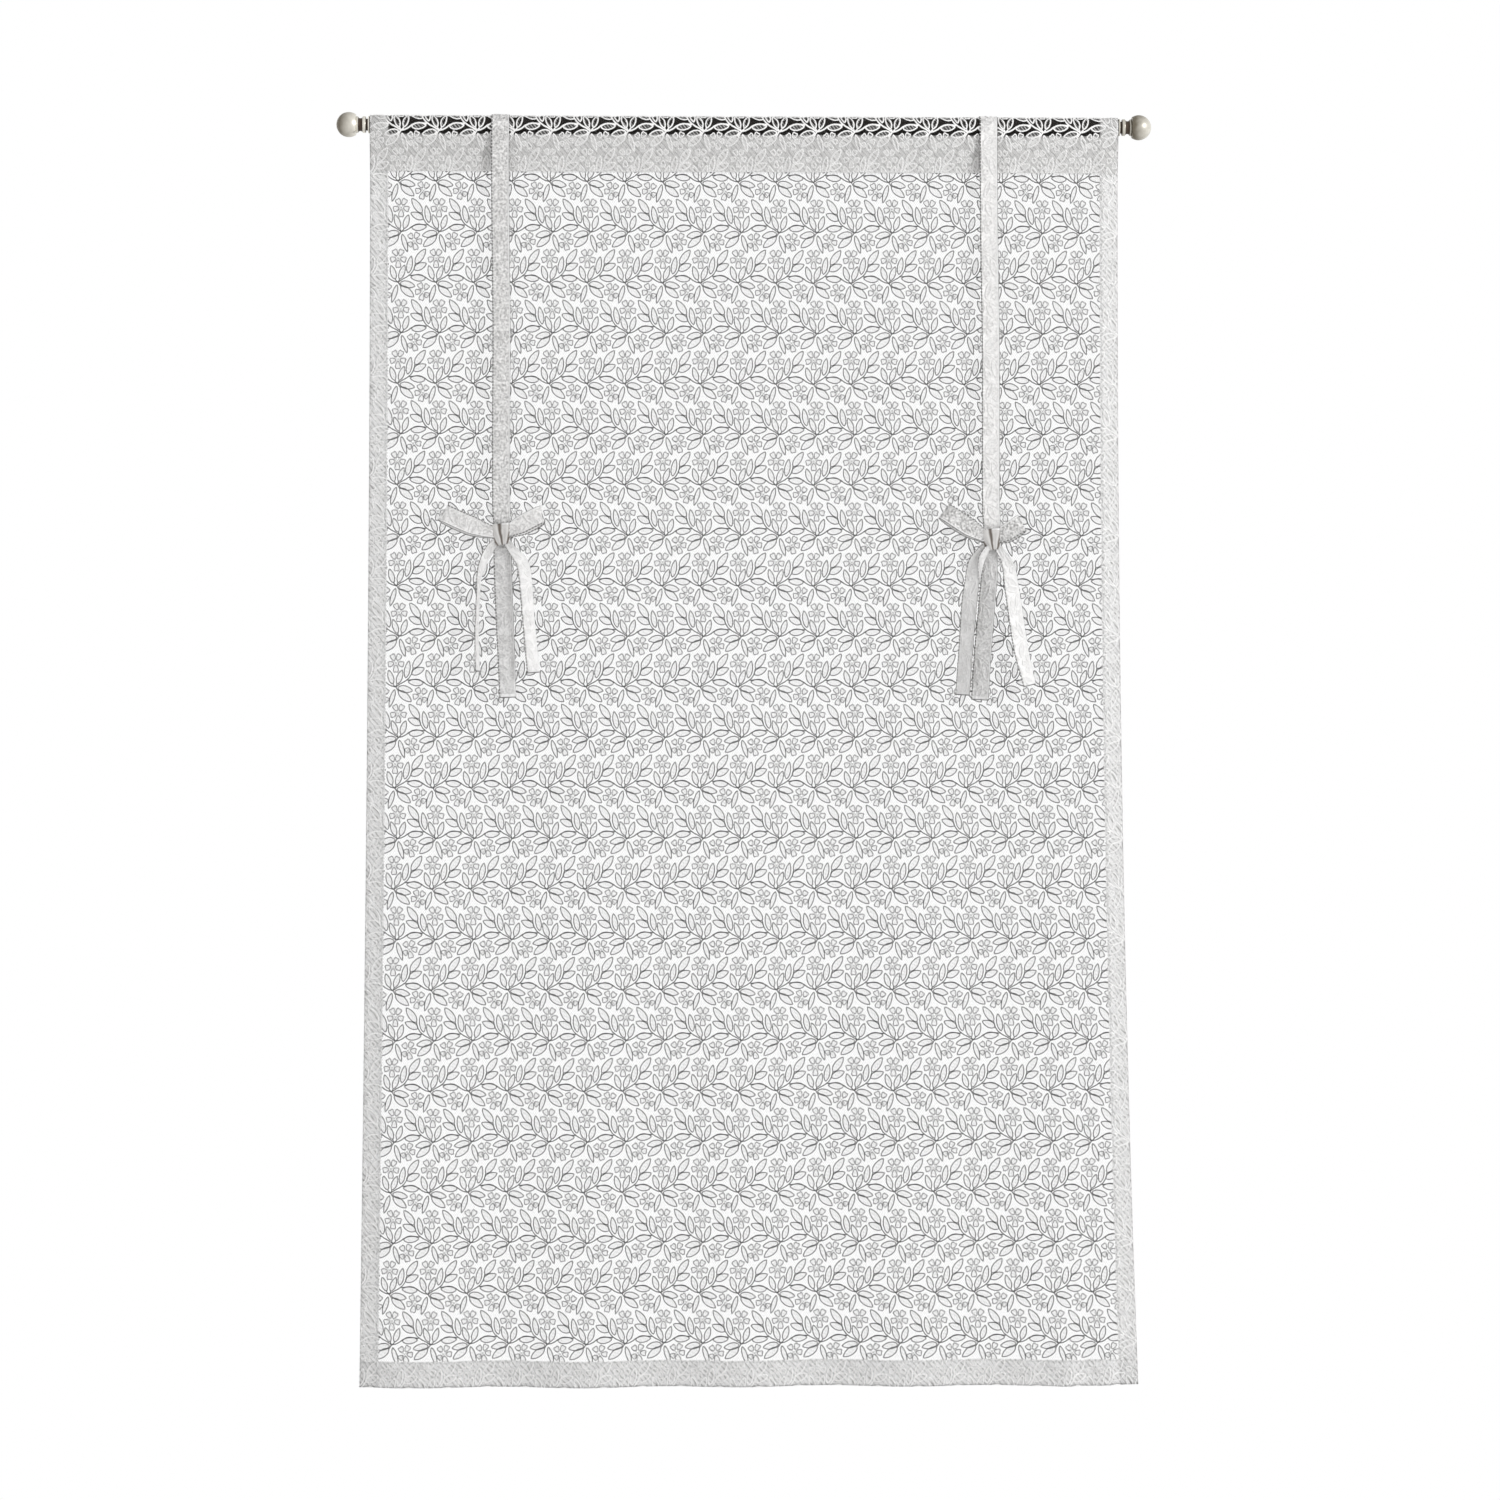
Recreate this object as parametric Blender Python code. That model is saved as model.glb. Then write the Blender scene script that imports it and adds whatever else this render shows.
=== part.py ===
"""Lace curtain on its rod, with two long ties, each knotted into a bow.

Metres, +Z up. The front is -Y. The origin is the middle of the rod, on its axis.
"""
from math import asin, cos, pi, radians, sin

import bmesh
import bpy
from mathutils import Vector

# Sizes that drive the rest
GAP = 0.0003  # clearance between one piece and the next
CLOTH = 0.0008  # thickness of one layer of lace

ROD_R = 0.011
ROD_WALL = 0.0012
ROD_SIDES = 36

PANEL_WIDTH = 0.9422
PANEL_BOTTOM = -1.588
FLARE_LEFT = 0.014  # how far the sides swing out at the bottom
FLARE_RIGHT = 0.027
SEAM_Z = -0.058  # stitched line that closes the rod pocket
SIDE_HEM = 0.024
BOTTOM_HEM = 0.033
WAVE_DEPTH = 0.0075

COLUMNS = 10
ROWS = 12
LEAF_LENGTH = 0.084
LEAF_WIDTH = 0.036
LEAF_LEAN = radians(24)
RIDGE_WIDTH = 0.0055
RIDGE_HEIGHT = 0.0007

STRAP_WIDTH = 0.0225
STRAP_IN_KNOT = 0.020
KNOT_LEFT_Z = -0.5155
KNOT_RIGHT_Z = -0.5212
KNOT_HALF_HEIGHT = 0.014
KNOT_HALF_WIDTH = 0.0134
KNOT_FRONT = 0.0077  # from the middle of the tie to the front of the knot
KNOT_BACK = 0.003
KNOT_CLEAR = 0.003  # the tie starts to narrow this far above the knot

FINIAL_SIDES = 28
SPIGOT_LENGTH = 0.022
BALL_R = 0.01575

TIE_INSET_LEFT = 0.1639  # from the panel's edge to the middle of the tie
TIE_INSET_RIGHT = 0.1643
TIE_FOOT = 0.006  # the ties are sewn on this far above the seam
KNOT_SHIFT_LEFT = 0.0016  # how far each knot hangs to the right of its tie
KNOT_SHIFT_RIGHT = 0.0038
BOW_REACH = 0.0735  # from the left knot to the end of its longest loop

# Sizes that follow from them
PANEL_LEFT = -PANEL_WIDTH / 2
PANEL_RIGHT = PANEL_WIDTH / 2
ROD_HALF = PANEL_RIGHT + GAP
TIE_LEFT = PANEL_LEFT + TIE_INSET_LEFT
TIE_RIGHT = PANEL_RIGHT - TIE_INSET_RIGHT
WAVE_PITCH = (TIE_RIGHT - TIE_LEFT) / 3  # the lace falls away behind both bows
ARC_STEPS = 10
POCKET_R = ROD_R + GAP  # inside of the cloth where it lies on the rod
POCKET_OUT = POCKET_R + CLOTH
TANGENT = asin((POCKET_R + CLOTH / 2) / -SEAM_Z)
ARC_STEP = (pi + 2 * TANGENT) / ARC_STEPS
ROUND = 1 / cos(ARC_STEP / 2)  # lets flat facets clear the round they wrap
PANEL_DROP = SEAM_Z - PANEL_BOTTOM
STRAP_R = (POCKET_OUT + GAP) * ROUND + CLOTH / 2
STRAP_Y = -(POCKET_OUT + GAP) * ROUND * cos(ARC_STEP - TANGENT) - CLOTH / 2

# Tails from the knot, as (right, back, up, share of the tie's width, turn about the vertical).
# Their lengths, and those of the loops, are shares of BOW_REACH.
LEFT_STRAP_TAIL = [
    (0.014, 0, -0.327, 1, 0), (0.027, -0.014, -0.816, 1, 0.05), (0.054, -0.027, -1.497, 1, 0.1),
    (0.082, -0.014, -2.177, 1, 0.3), (0.102, 0, -2.789, 1, 0.4),
]
RIGHT_STRAP_TAIL = [
    (-0.008, 0, -0.327, 0.75, -0.1), (-0.041, -0.027, -0.612, 0.95, -0.35),
    (-0.078, -0.027, -1.034, 1, -0.45), (-0.15, -0.014, -1.891, 1, -0.35), (-0.204, 0, -2.748, 1, -0.35),
]
LEFT_TAILS = [
    [
        (-0.041, 0, -0.054, 0.4, 0.1), (-0.197, -0.014, -0.245, 0.5, 0.3),
        (-0.299, 0, -0.435, 0.7, 0.8), (-0.377, 0, -0.653, 0.9, 1.25),
        (-0.401, 0, -0.98, 1, 1.4), (-0.429, 0, -1.66, 1, 1.4), (-0.415, 0, -2.34, 1, 1.35),
    ],
    [
        (0.041, -0.007, -0.054, 0.4, 0), (0.184, -0.014, -0.272, 0.5, 0.05),
        (0.333, -0.014, -0.463, 0.75, 0.4), (0.395, -0.014, -0.707, 0.95, 0.7),
        (0.449, -0.014, -1.361, 1, 0.8), (0.503, -0.014, -1.973, 1, 0.8), (0.54, -0.014, -2.367, 1, 0.8),
    ],
]
RIGHT_TAILS = [
    [
        (-0.041, 0, -0.054, 0.4, 0), (-0.197, -0.014, -0.218, 0.5, -0.1),
        (-0.306, 0, -0.408, 0.7, -0.3), (-0.347, 0, -0.748, 0.9, -0.5),
        (-0.388, 0, -1.088, 1, -0.6), (-0.449, 0, -1.905, 1, -0.7), (-0.503, 0, -2.667, 1, -0.7),
    ],
    [
        (0.041, -0.007, -0.054, 0.4, 0), (0.19, -0.014, -0.272, 0.5, 0.05),
        (0.286, -0.014, -0.49, 0.75, 0.25), (0.333, -0.014, -0.816, 0.95, 0.45),
        (0.374, -0.014, -1.088, 1, 0.5), (0.497, -0.014, -1.891, 1, 0.5), (0.646, -0.014, -2.503, 1, 0.7),
    ],
]

# Loops as (reach of the far end, point that bends it, half opening, direction across)
LEFT_LOOPS = [
    ((-1, 0.014, 0.367), (-0.544, 0, 0.109), 0.057, (0.47, 0, 0.88)),
    ((0.694, -0.041, 0.333), (0.367, 0, 0.15), 0.068, (-0.1, 0, 1)),
]
RIGHT_LOOPS = [
    ((-0.816, 0.014, 0.483), (-0.408, 0, 0.177), 0.057, (0.64, 0, 0.77)),
    ((0.51, -0.027, 0.279), (0.299, 0, 0.095), 0.065, (-0.45, 0.1, 0.87)),
]


def clear_scene():
    for obj in list(bpy.data.objects):
        bpy.data.objects.remove(obj, do_unlink=True)


def material(name, color, roughness, metallic=0.0):
    mat = bpy.data.materials.new(name)
    mat.use_nodes = True
    shader = mat.node_tree.nodes["Principled BSDF"]
    shader.inputs["Base Color"].default_value = (*color, 1)
    shader.inputs["Roughness"].default_value = roughness
    shader.inputs["Metallic"].default_value = metallic
    mat.diffuse_color = (*color, 1)
    return mat


def add_object(name, bm, mat, smooth_angle=None):
    bmesh.ops.recalc_face_normals(bm, faces=bm.faces)
    if smooth_angle is not None:
        for face in bm.faces:
            face.smooth = True
        for edge in bm.edges:
            edge.smooth = edge.calc_face_angle(pi) < smooth_angle
    mesh = bpy.data.meshes.new(name)
    bm.to_mesh(mesh)
    bm.free()
    obj = bpy.data.objects.new(name, mesh)
    bpy.context.scene.collection.objects.link(obj)
    mesh.materials.append(mat)
    return obj


# Lace panel


def hang(x, z, depth):
    """Place a point of the flat lace, given across, down and through it, in its hanging shape."""
    down = max(0.0, (SEAM_Z - z) / PANEL_DROP)
    if x < 0:
        x += FLARE_LEFT * down**1.6 * x / -PANEL_LEFT
    else:
        x += FLARE_RIGHT * down**2.2 * x / PANEL_RIGHT
    swell = cos(2 * pi * (x - TIE_RIGHT) / WAVE_PITCH) + 0.35 * sin(2 * pi * x / (2.6 * WAVE_PITCH) + 0.4)
    return Vector((x, depth + WAVE_DEPTH * down**0.8 * swell, z))


def column_lines():
    """Lines across the panel: edge, hem, then two for each tile, hem, edge."""
    first = PANEL_LEFT + SIDE_HEM
    step = (PANEL_RIGHT - SIDE_HEM - first) / (2 * COLUMNS)
    return [PANEL_LEFT] + [first + step * i for i in range(2 * COLUMNS + 1)] + [PANEL_RIGHT]


def row_lines():
    last = PANEL_BOTTOM + BOTTOM_HEM
    step = (last - SEAM_Z) / ROWS
    return [SEAM_Z + step * j for j in range(ROWS + 1)] + [PANEL_BOTTOM]


def pocket_section():
    """Outer and inner line of the cloth around the rod, from the seam up the front and down the back."""
    outer = [(-CLOTH / 2, SEAM_Z)]
    inner = [(0, SEAM_Z + CLOTH / 2 / sin(TANGENT))]
    for k in range(ARC_STEPS + 1):
        angle = -TANGENT + ARC_STEP * k
        out_r = POCKET_OUT * ROUND
        in_r = POCKET_R * ROUND
        outer.append((-out_r * cos(angle), out_r * sin(angle)))
        inner.append((-in_r * cos(angle), in_r * sin(angle)))
    outer.append((CLOTH / 2, SEAM_Z))
    return outer, inner


def leaf_ring(x, z, lean, grow):
    """Six points of a leaf shape, tip first and clockwise."""
    half_l = LEAF_LENGTH / 2 + grow
    half_w = LEAF_WIDTH / 2 + grow
    shape = [(1, 0), (0.36, 0.86), (-0.4, 0.92), (-1, 0), (-0.4, -0.92), (0.36, -0.86)]
    points = []
    for along, across in shape:
        up = along * half_l
        side = across * half_w
        points.append((x + side * cos(lean) + up * sin(lean), z + up * cos(lean) - side * sin(lean)))
    return points


def ring_faces(bm, outer, inner):
    count = len(outer)
    for k in range(count):
        nxt = (k + 1) % count
        bm.faces.new((outer[k], outer[nxt], inner[nxt], inner[k]))


def add_tile(bm, front, back, i, j, xs, zs):
    """One tile of the lace: a leaf-shaped opening with a raised rim."""
    lean = LEAF_LEAN if j % 2 else -LEAF_LEAN
    x, z = xs[i + 1], (zs[j] + zs[j + 1]) / 2
    corners = [(i + 1, j), (i + 2, j), (i + 2, j + 1), (i + 1, j + 1), (i, j + 1), (i, j)]
    rim = [bm.verts.new(hang(*p, -CLOTH / 2 - RIDGE_HEIGHT)) for p in leaf_ring(x, z, lean, RIDGE_WIDTH)]
    hole = leaf_ring(x, z, lean, 0)
    hole_front = [bm.verts.new(hang(*p, -CLOTH / 2)) for p in hole]
    hole_back = [bm.verts.new(hang(*p, CLOTH / 2)) for p in hole]
    ring_faces(bm, [front[c] for c in corners], rim)
    ring_faces(bm, rim, hole_front)
    ring_faces(bm, hole_front, hole_back)
    ring_faces(bm, hole_back, [back[c] for c in corners])


def add_pocket(bm, front, back, xs):
    """Cloth loop around the rod, which joins the panel at the seam, and its two open ends."""
    outer_line, inner_line = pocket_section()
    last = len(xs) - 1
    outer, inner = [], []
    for i, x in enumerate(xs):
        middle = [bm.verts.new((x, y, z)) for y, z in outer_line[1:-1]]
        outer.append([front[i, 0]] + middle + [back[i, 0]])
        loop = [bm.verts.new((x, y, z)) for y, z in inner_line]
        inner.append(loop + [loop[0]])
    steps = len(outer_line) - 1
    for i in range(last):
        for k in range(steps):
            bm.faces.new((outer[i][k], outer[i + 1][k], outer[i + 1][k + 1], outer[i][k + 1]))
            bm.faces.new((inner[i][k], inner[i][k + 1], inner[i + 1][k + 1], inner[i + 1][k]))
    for i in (0, last):
        for k in range(steps):
            bm.faces.new((outer[i][k], outer[i][k + 1], inner[i][k + 1], inner[i][k]))
        bm.faces.new((outer[i][0], inner[i][0], outer[i][steps]))


def add_hems(bm, front, back, hem, xs, zs):
    """Sides and bottom turned to the back, where they are twice as thick."""
    last, low = len(xs) - 1, len(zs) - 1
    for j in range(low):
        for i in (0, last - 1):
            bm.faces.new((front[i, j], front[i + 1, j], front[i + 1, j + 1], front[i, j + 1]))
            bm.faces.new((hem[i, j], hem[i, j + 1], hem[i + 1, j + 1], hem[i + 1, j]))
        for i in (0, last):
            side = [front[i, j], front[i, j + 1], hem[i, j + 1], hem[i, j]]
            bm.faces.new(side + [back[i, 0]] if j == 0 else side)
        if j < low - 1:
            for i in (1, last - 1):
                bm.faces.new((back[i, j], back[i, j + 1], hem[i, j + 1], hem[i, j]))
    for i in (0, last - 1):
        bm.faces.new((back[i, 0], back[i + 1, 0], hem[i + 1, 0], hem[i, 0]))
    for i in range(last):
        bm.faces.new((front[i, low], front[i + 1, low], hem[i + 1, low], hem[i, low]))
    for i in range(1, last - 1):
        bm.faces.new((front[i, low - 1], front[i + 1, low - 1], front[i + 1, low], front[i, low]))
        bm.faces.new((hem[i, low - 1], hem[i, low], hem[i + 1, low], hem[i + 1, low - 1]))
        bm.faces.new((back[i, low - 1], hem[i, low - 1], hem[i + 1, low - 1], back[i + 1, low - 1]))


def build_panel(mat):
    bm = bmesh.new()
    xs, zs = column_lines(), row_lines()
    last, low = len(xs) - 1, len(zs) - 1
    front, back, hem = {}, {}, {}
    for i, x in enumerate(xs):
        for j, z in enumerate(zs):
            front[i, j] = bm.verts.new(hang(x, z, -CLOTH / 2))
            if j == 0 or (0 < i < last and j < low):
                back[i, j] = bm.verts.new(hang(x, z, CLOTH / 2))
            if i in (0, 1, last - 1, last) or j >= low - 1:
                hem[i, j] = bm.verts.new(hang(x, z, 1.5 * CLOTH))
    add_pocket(bm, front, back, xs)
    add_hems(bm, front, back, hem, xs, zs)
    for j in range(ROWS):
        for k in range(COLUMNS):
            add_tile(bm, front, back, 1 + 2 * k, j, xs, zs)
    return add_object("lace_panel", bm, mat, radians(30))


# Ribbons


def add_ribbon(bm, stations):
    """Band of cloth through stations of (centre, direction across, width)."""
    rings = []
    for k, (centre, across, width) in enumerate(stations):
        before = stations[max(k - 1, 0)][0]
        after = stations[min(k + 1, len(stations) - 1)][0]
        across = Vector(across).normalized()
        through = (after - before).cross(across).normalized()
        side, thick = across * width / 2, through * CLOTH / 2
        corners = (side + thick, -side + thick, -side - thick, side - thick)
        rings.append([bm.verts.new(centre + c) for c in corners])
    for low, high in zip(rings, rings[1:]):
        # the two broad sides are split along the same diagonal, so that they never cross in a twist
        for a, b in ((0, 1), (3, 2)):
            bm.faces.new((low[a], low[b], high[b]))
            bm.faces.new((low[a], high[b], high[a]))
        bm.faces.new((low[1], low[2], high[2], high[1]))
        bm.faces.new((low[3], low[0], high[0], high[3]))
    bm.faces.new(rings[0])
    bm.faces.new(rings[-1])


def smooth_between(stations, parts):
    """Stations on a smooth curve through the given ones."""
    out = []
    last = len(stations) - 1
    for k in range(last):
        four = [stations[min(max(k + d, 0), last)] for d in (-1, 0, 1, 2)]
        for step in range(parts):
            t = step / parts
            weights = (
                -0.5 * t + t**2 - 0.5 * t**3, 1 - 2.5 * t**2 + 1.5 * t**3,
                0.5 * t + 2 * t**2 - 1.5 * t**3, -0.5 * t**2 + 0.5 * t**3,
            )
            centre = sum((Vector(s[0]) * w for s, w in zip(four, weights)), Vector())
            across = sum((Vector(s[1]) * w for s, w in zip(four, weights)), Vector())
            width = sum(s[2] * w for s, w in zip(four, weights))
            out.append((centre, across, width))
    return out + [stations[-1]]


def strap_stations(x_top, knot, tail):
    """Up the back of the pocket from its seam, over the top, down the front and through the knot."""
    stations = []
    angle = pi + TANGENT
    slope = Vector((0, -sin(angle), -cos(angle)))
    top = Vector((x_top, STRAP_R * -cos(angle), STRAP_R * sin(angle)))
    run = (top.z - SEAM_Z - TIE_FOOT) / -slope.z
    across = (1, 0, 0)
    stations.append((top + slope * run, across, STRAP_WIDTH))
    for k in range(ARC_STEPS):
        turn = angle - ARC_STEP * k
        centre = Vector((x_top, -STRAP_R * cos(turn), STRAP_R * sin(turn)))
        stations.append((centre, across, STRAP_WIDTH))
    above = knot.z + KNOT_HALF_HEIGHT + KNOT_CLEAR
    below = knot.z - KNOT_HALF_HEIGHT - KNOT_CLEAR
    for part in (0.25, 0.5, 0.75, 0.95):
        x = x_top + (knot.x - x_top) * part
        stations.append((Vector((x, STRAP_Y, above * part)), across, STRAP_WIDTH))
    for z in (above, knot.z, below):
        stations.append((Vector((knot.x, STRAP_Y, z)), across, STRAP_IN_KNOT))
    return stations + smooth_between([stations[-1]] + tail_stations(knot, tail), 2)[1:]


def build_strap(name, x_top, knot, tail, mat):
    bm = bmesh.new()
    add_ribbon(bm, strap_stations(x_top, knot, tail))
    return add_object(name, bm, mat, radians(50))


def loop_stations(knot, reach, bend, open_half, across, steps=16):
    """Ribbon out from the knot along a curve and back behind itself."""
    stations = []
    for k in range(steps + 1):
        t = 0.03 + 0.94 * k / steps
        s = sin(pi * t)
        path = Vector(bend) * 2 * s * (1 - s) + Vector(reach) * s * s
        apart = Vector((0, -open_half, 0.02)) * sin(2 * pi * t)
        centre = knot + (path + apart) * BOW_REACH
        spread = min(1.0, 0.5 + 1.1 * s)
        stations.append((centre, across, STRAP_WIDTH * spread))
    return stations


def tail_stations(knot, points):
    stations = []
    for dx, dy, dz, width, turn in points:
        across = (cos(turn), sin(turn), 0)
        stations.append((knot + Vector((dx, dy, dz)) * BOW_REACH, across, STRAP_WIDTH * width))
    return stations


def add_knot(bm, knot):
    """Pillow of cloth, flatter and narrower at its two ends."""
    rings = []
    for level, wide, bulge in ((-1, 0.88, 0.6), (-0.75, 0.96, 0.9), (0, 1, 1), (0.75, 0.96, 0.9), (1, 0.88, 0.6)):
        half_w = KNOT_HALF_WIDTH * wide
        corners = []
        for x, y in ((-1, 0), (-0.94, 0.8), (-0.6, 1), (0.6, 1), (0.94, 0.8), (1, 0)):
            corners.append((x * half_w, STRAP_Y - KNOT_FRONT * bulge * y))
        corners += [(half_w * 0.92, STRAP_Y + KNOT_BACK), (-half_w * 0.92, STRAP_Y + KNOT_BACK)]
        z = knot.z + KNOT_HALF_HEIGHT * level
        rings.append([bm.verts.new((knot.x + x, y, z)) for x, y in corners])
    for low, high in zip(rings, rings[1:]):
        ring_faces(bm, low, high)
    bm.faces.new(rings[0])
    bm.faces.new(rings[-1])


def add_slot(bm, knot):
    """Space in the knot that the strap runs through."""
    half_w = STRAP_IN_KNOT / 2 + GAP
    half_d = CLOTH / 2 + GAP
    box = bmesh.ops.create_cube(bm, size=1)
    for vert in box["verts"]:
        x, y, z = vert.co
        vert.co = (knot.x + x * 2 * half_w, STRAP_Y + y * 2 * half_d, knot.z + z * 4 * KNOT_HALF_HEIGHT)


def combine(obj, other, operation):
    cut = obj.modifiers.new(operation.lower(), "BOOLEAN")
    cut.operation = operation
    cut.object = other
    cut.solver = "EXACT"
    depsgraph = bpy.context.evaluated_depsgraph_get()
    result = bpy.data.meshes.new_from_object(obj.evaluated_get(depsgraph))
    obj.modifiers.remove(cut)
    obj.data = result
    bpy.data.objects.remove(other, do_unlink=True)


def build_bow(name, knot, loops, tails, mat):
    """Knot with a slot for the strap, two loops and two tails, all one ribbon."""
    bm = bmesh.new()
    add_knot(bm, knot)
    bow = add_object(name, bm, mat)
    start = knot - Vector((0, 0.55 * KNOT_FRONT, 0))
    pieces = [loop_stations(start, *loop) for loop in loops]
    pieces += [smooth_between(tail_stations(start, tail), 2) for tail in tails]
    for stations in pieces:
        bm = bmesh.new()
        add_ribbon(bm, stations)
        combine(bow, add_object("piece", bm, mat), "UNION")
    bm = bmesh.new()
    add_slot(bm, knot)
    combine(bow, add_object("slot", bm, mat), "DIFFERENCE")
    bow.data.name = name
    for face in bow.data.polygons:
        face.use_smooth = False
    return bow


# Rod and finials


def turned(name, profile, sides, mat, flip):
    """Solid turned about the rod's axis, from (distance along, radius) pairs."""
    bm = bmesh.new()
    rings = []
    for along, radius in profile:
        x = flip * along
        if radius == 0:
            rings.append([bm.verts.new((x, 0, 0))])
            continue
        ring = []
        for k in range(sides):
            angle = 2 * pi * k / sides
            ring.append(bm.verts.new((x, radius * cos(angle), radius * sin(angle))))
        rings.append(ring)
    for low, high in zip(rings, rings[1:]):
        for k in range(sides):
            nxt = (k + 1) % sides
            corners = [low[k % len(low)], low[nxt % len(low)], high[nxt % len(high)], high[k % len(high)]]
            bm.faces.new(dict.fromkeys(corners))
    return add_object(name, bm, mat, radians(32))


def build_rod(mat):
    inner = ROD_R - ROD_WALL
    bm = bmesh.new()
    rings = []
    for x, radius in ((-ROD_HALF, ROD_R), (ROD_HALF, ROD_R), (ROD_HALF, inner), (-ROD_HALF, inner)):
        ring = []
        for k in range(ROD_SIDES):
            angle = 2 * pi * k / ROD_SIDES
            ring.append(bm.verts.new((x, radius * cos(angle), radius * sin(angle))))
        rings.append(ring)
    for k in range(4):
        ring_faces(bm, rings[k], rings[(k + 1) % 4])
    return add_object("curtain_rod", bm, mat, radians(32))


def finial_profile():
    """Spigot, collar, cove, ring and ball, from inside the tube outwards."""
    start = ROD_HALF + GAP
    spigot_r = ROD_R - ROD_WALL - GAP
    profile = [(ROD_HALF - SPIGOT_LENGTH, 0), (ROD_HALF - SPIGOT_LENGTH, spigot_r - 0.001)]
    profile += [(ROD_HALF - SPIGOT_LENGTH + 0.001, spigot_r), (start, spigot_r)]
    shape = (
        (0, 10.7), (1.8, 10.7), (2.1, 7.4), (4.3, 7.4), (4.7, 10.1), (5.3, 10.45), (8.0, 10.45),
        (8.7, 9.9), (9.8, 8.6), (11.7, 8.0), (13.4, 8.7), (14.2, 10.1), (14.6, 10.4), (16.6, 10.4),
    )
    profile += [(start + along / 1000, radius / 1000) for along, radius in shape]
    centre = start + 0.026
    for degrees in (146, 132, 118, 104, 90, 76, 62, 48, 34, 22, 10):
        angle = radians(degrees)
        x = centre + BALL_R * cos(angle)
        profile.append((max(x, start + 0.0168), BALL_R * sin(angle)))
    profile.append((centre + BALL_R, 0))
    return profile


def main():
    clear_scene()
    lace = material("lace", (0.66, 0.66, 0.65), 0.9)
    ribbon = material("tie_lace", (0.6, 0.6, 0.585), 0.9)
    tube = material("rod_metal", (0.2, 0.17, 0.15), 0.35, 1.0)
    nickel = material("finial_metal", (0.62, 0.58, 0.53), 0.3, 1.0)

    build_panel(lace)
    build_rod(tube)
    turned("finial_left", finial_profile(), FINIAL_SIDES, nickel, -1)
    turned("finial_right", finial_profile(), FINIAL_SIDES, nickel, 1)

    left_knot = Vector((TIE_LEFT + KNOT_SHIFT_LEFT, STRAP_Y, KNOT_LEFT_Z))
    right_knot = Vector((TIE_RIGHT + KNOT_SHIFT_RIGHT, STRAP_Y, KNOT_RIGHT_Z))
    build_strap("tie_strap_left", TIE_LEFT, left_knot, LEFT_STRAP_TAIL, ribbon)
    build_strap("tie_strap_right", TIE_RIGHT, right_knot, RIGHT_STRAP_TAIL, ribbon)
    build_bow("bow_left", left_knot, LEFT_LOOPS, LEFT_TAILS, ribbon)
    build_bow("bow_right", right_knot, RIGHT_LOOPS, RIGHT_TAILS, ribbon)


main()
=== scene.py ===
# %% [markdown]
# # A white lace tie-up curtain on its rod
#
# A tie-up curtain is one length of lace with a pocket along its top, a rod through the pocket,
# and two long ties that hang in front, each knotted into a bow. Nothing on it is stiff but the
# rod, so almost every shape here starts as flat cloth and is then hung by one rule.
# First the measured solids are loaded: every piece below has to sit where they sit.

from math import asin, cos, pi, radians, sin, sqrt

import bmesh
import bpy
import numpy as np
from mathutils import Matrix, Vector

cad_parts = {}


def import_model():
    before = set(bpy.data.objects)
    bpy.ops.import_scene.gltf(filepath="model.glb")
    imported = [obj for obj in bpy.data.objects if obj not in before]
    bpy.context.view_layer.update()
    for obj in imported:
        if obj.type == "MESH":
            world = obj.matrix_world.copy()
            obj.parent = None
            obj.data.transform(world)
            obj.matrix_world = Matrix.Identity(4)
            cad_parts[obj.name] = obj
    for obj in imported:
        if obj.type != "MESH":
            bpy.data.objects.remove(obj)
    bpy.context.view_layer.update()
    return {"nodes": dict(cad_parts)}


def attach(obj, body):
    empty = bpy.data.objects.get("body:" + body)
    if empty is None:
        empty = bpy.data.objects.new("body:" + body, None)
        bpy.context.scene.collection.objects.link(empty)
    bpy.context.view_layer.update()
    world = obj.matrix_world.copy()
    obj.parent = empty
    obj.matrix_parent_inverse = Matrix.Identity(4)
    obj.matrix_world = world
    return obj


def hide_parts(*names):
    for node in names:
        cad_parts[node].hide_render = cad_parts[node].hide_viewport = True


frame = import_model()
print("solids:", sorted(frame["nodes"]))

# %% [markdown]
# ## Camera
#
# The photograph looks straight at the curtain from several metres away, a degree or two from
# its left. A long lens keeps the sides almost parallel, as they are there. At the cloth the
# square picture is 1.89 m wide, which fixes the focal length for any distance.

# %% Camera
SENSOR = 36  # mm
VIEW_WIDTH = 1.89
VIEW_DISTANCE = 5.5
VIEW_END = 60
VIEW_SIDE = radians(-1.6)
VIEW_CENTRE = Vector((0.0066, 0, -0.786))


def add_camera():
    camera = bpy.data.objects.new("camera", bpy.data.cameras.new("camera"))
    bpy.context.scene.collection.objects.link(camera)
    camera.data.sensor_width = SENSOR
    camera.data.lens = SENSOR * VIEW_DISTANCE / VIEW_WIDTH
    camera.data.clip_end = VIEW_END
    away = Vector((sin(VIEW_SIDE), -cos(VIEW_SIDE), 0)) * VIEW_DISTANCE
    camera.location = VIEW_CENTRE + away
    camera.rotation_euler = (-away).to_track_quat("-Z", "Y").to_euler()
    bpy.context.scene.camera = camera
    return camera


camera = add_camera()
print("lens", round(camera.data.lens, 1), "mm")

# %% [markdown]
# ## Shader maths as plain expressions
#
# A finish is worked out from places on the cloth or the metal, so it is mostly arithmetic.
# Wrapping a socket in a small class lets that arithmetic be written as Python, and each
# operator adds the Math node it stands for.


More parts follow.
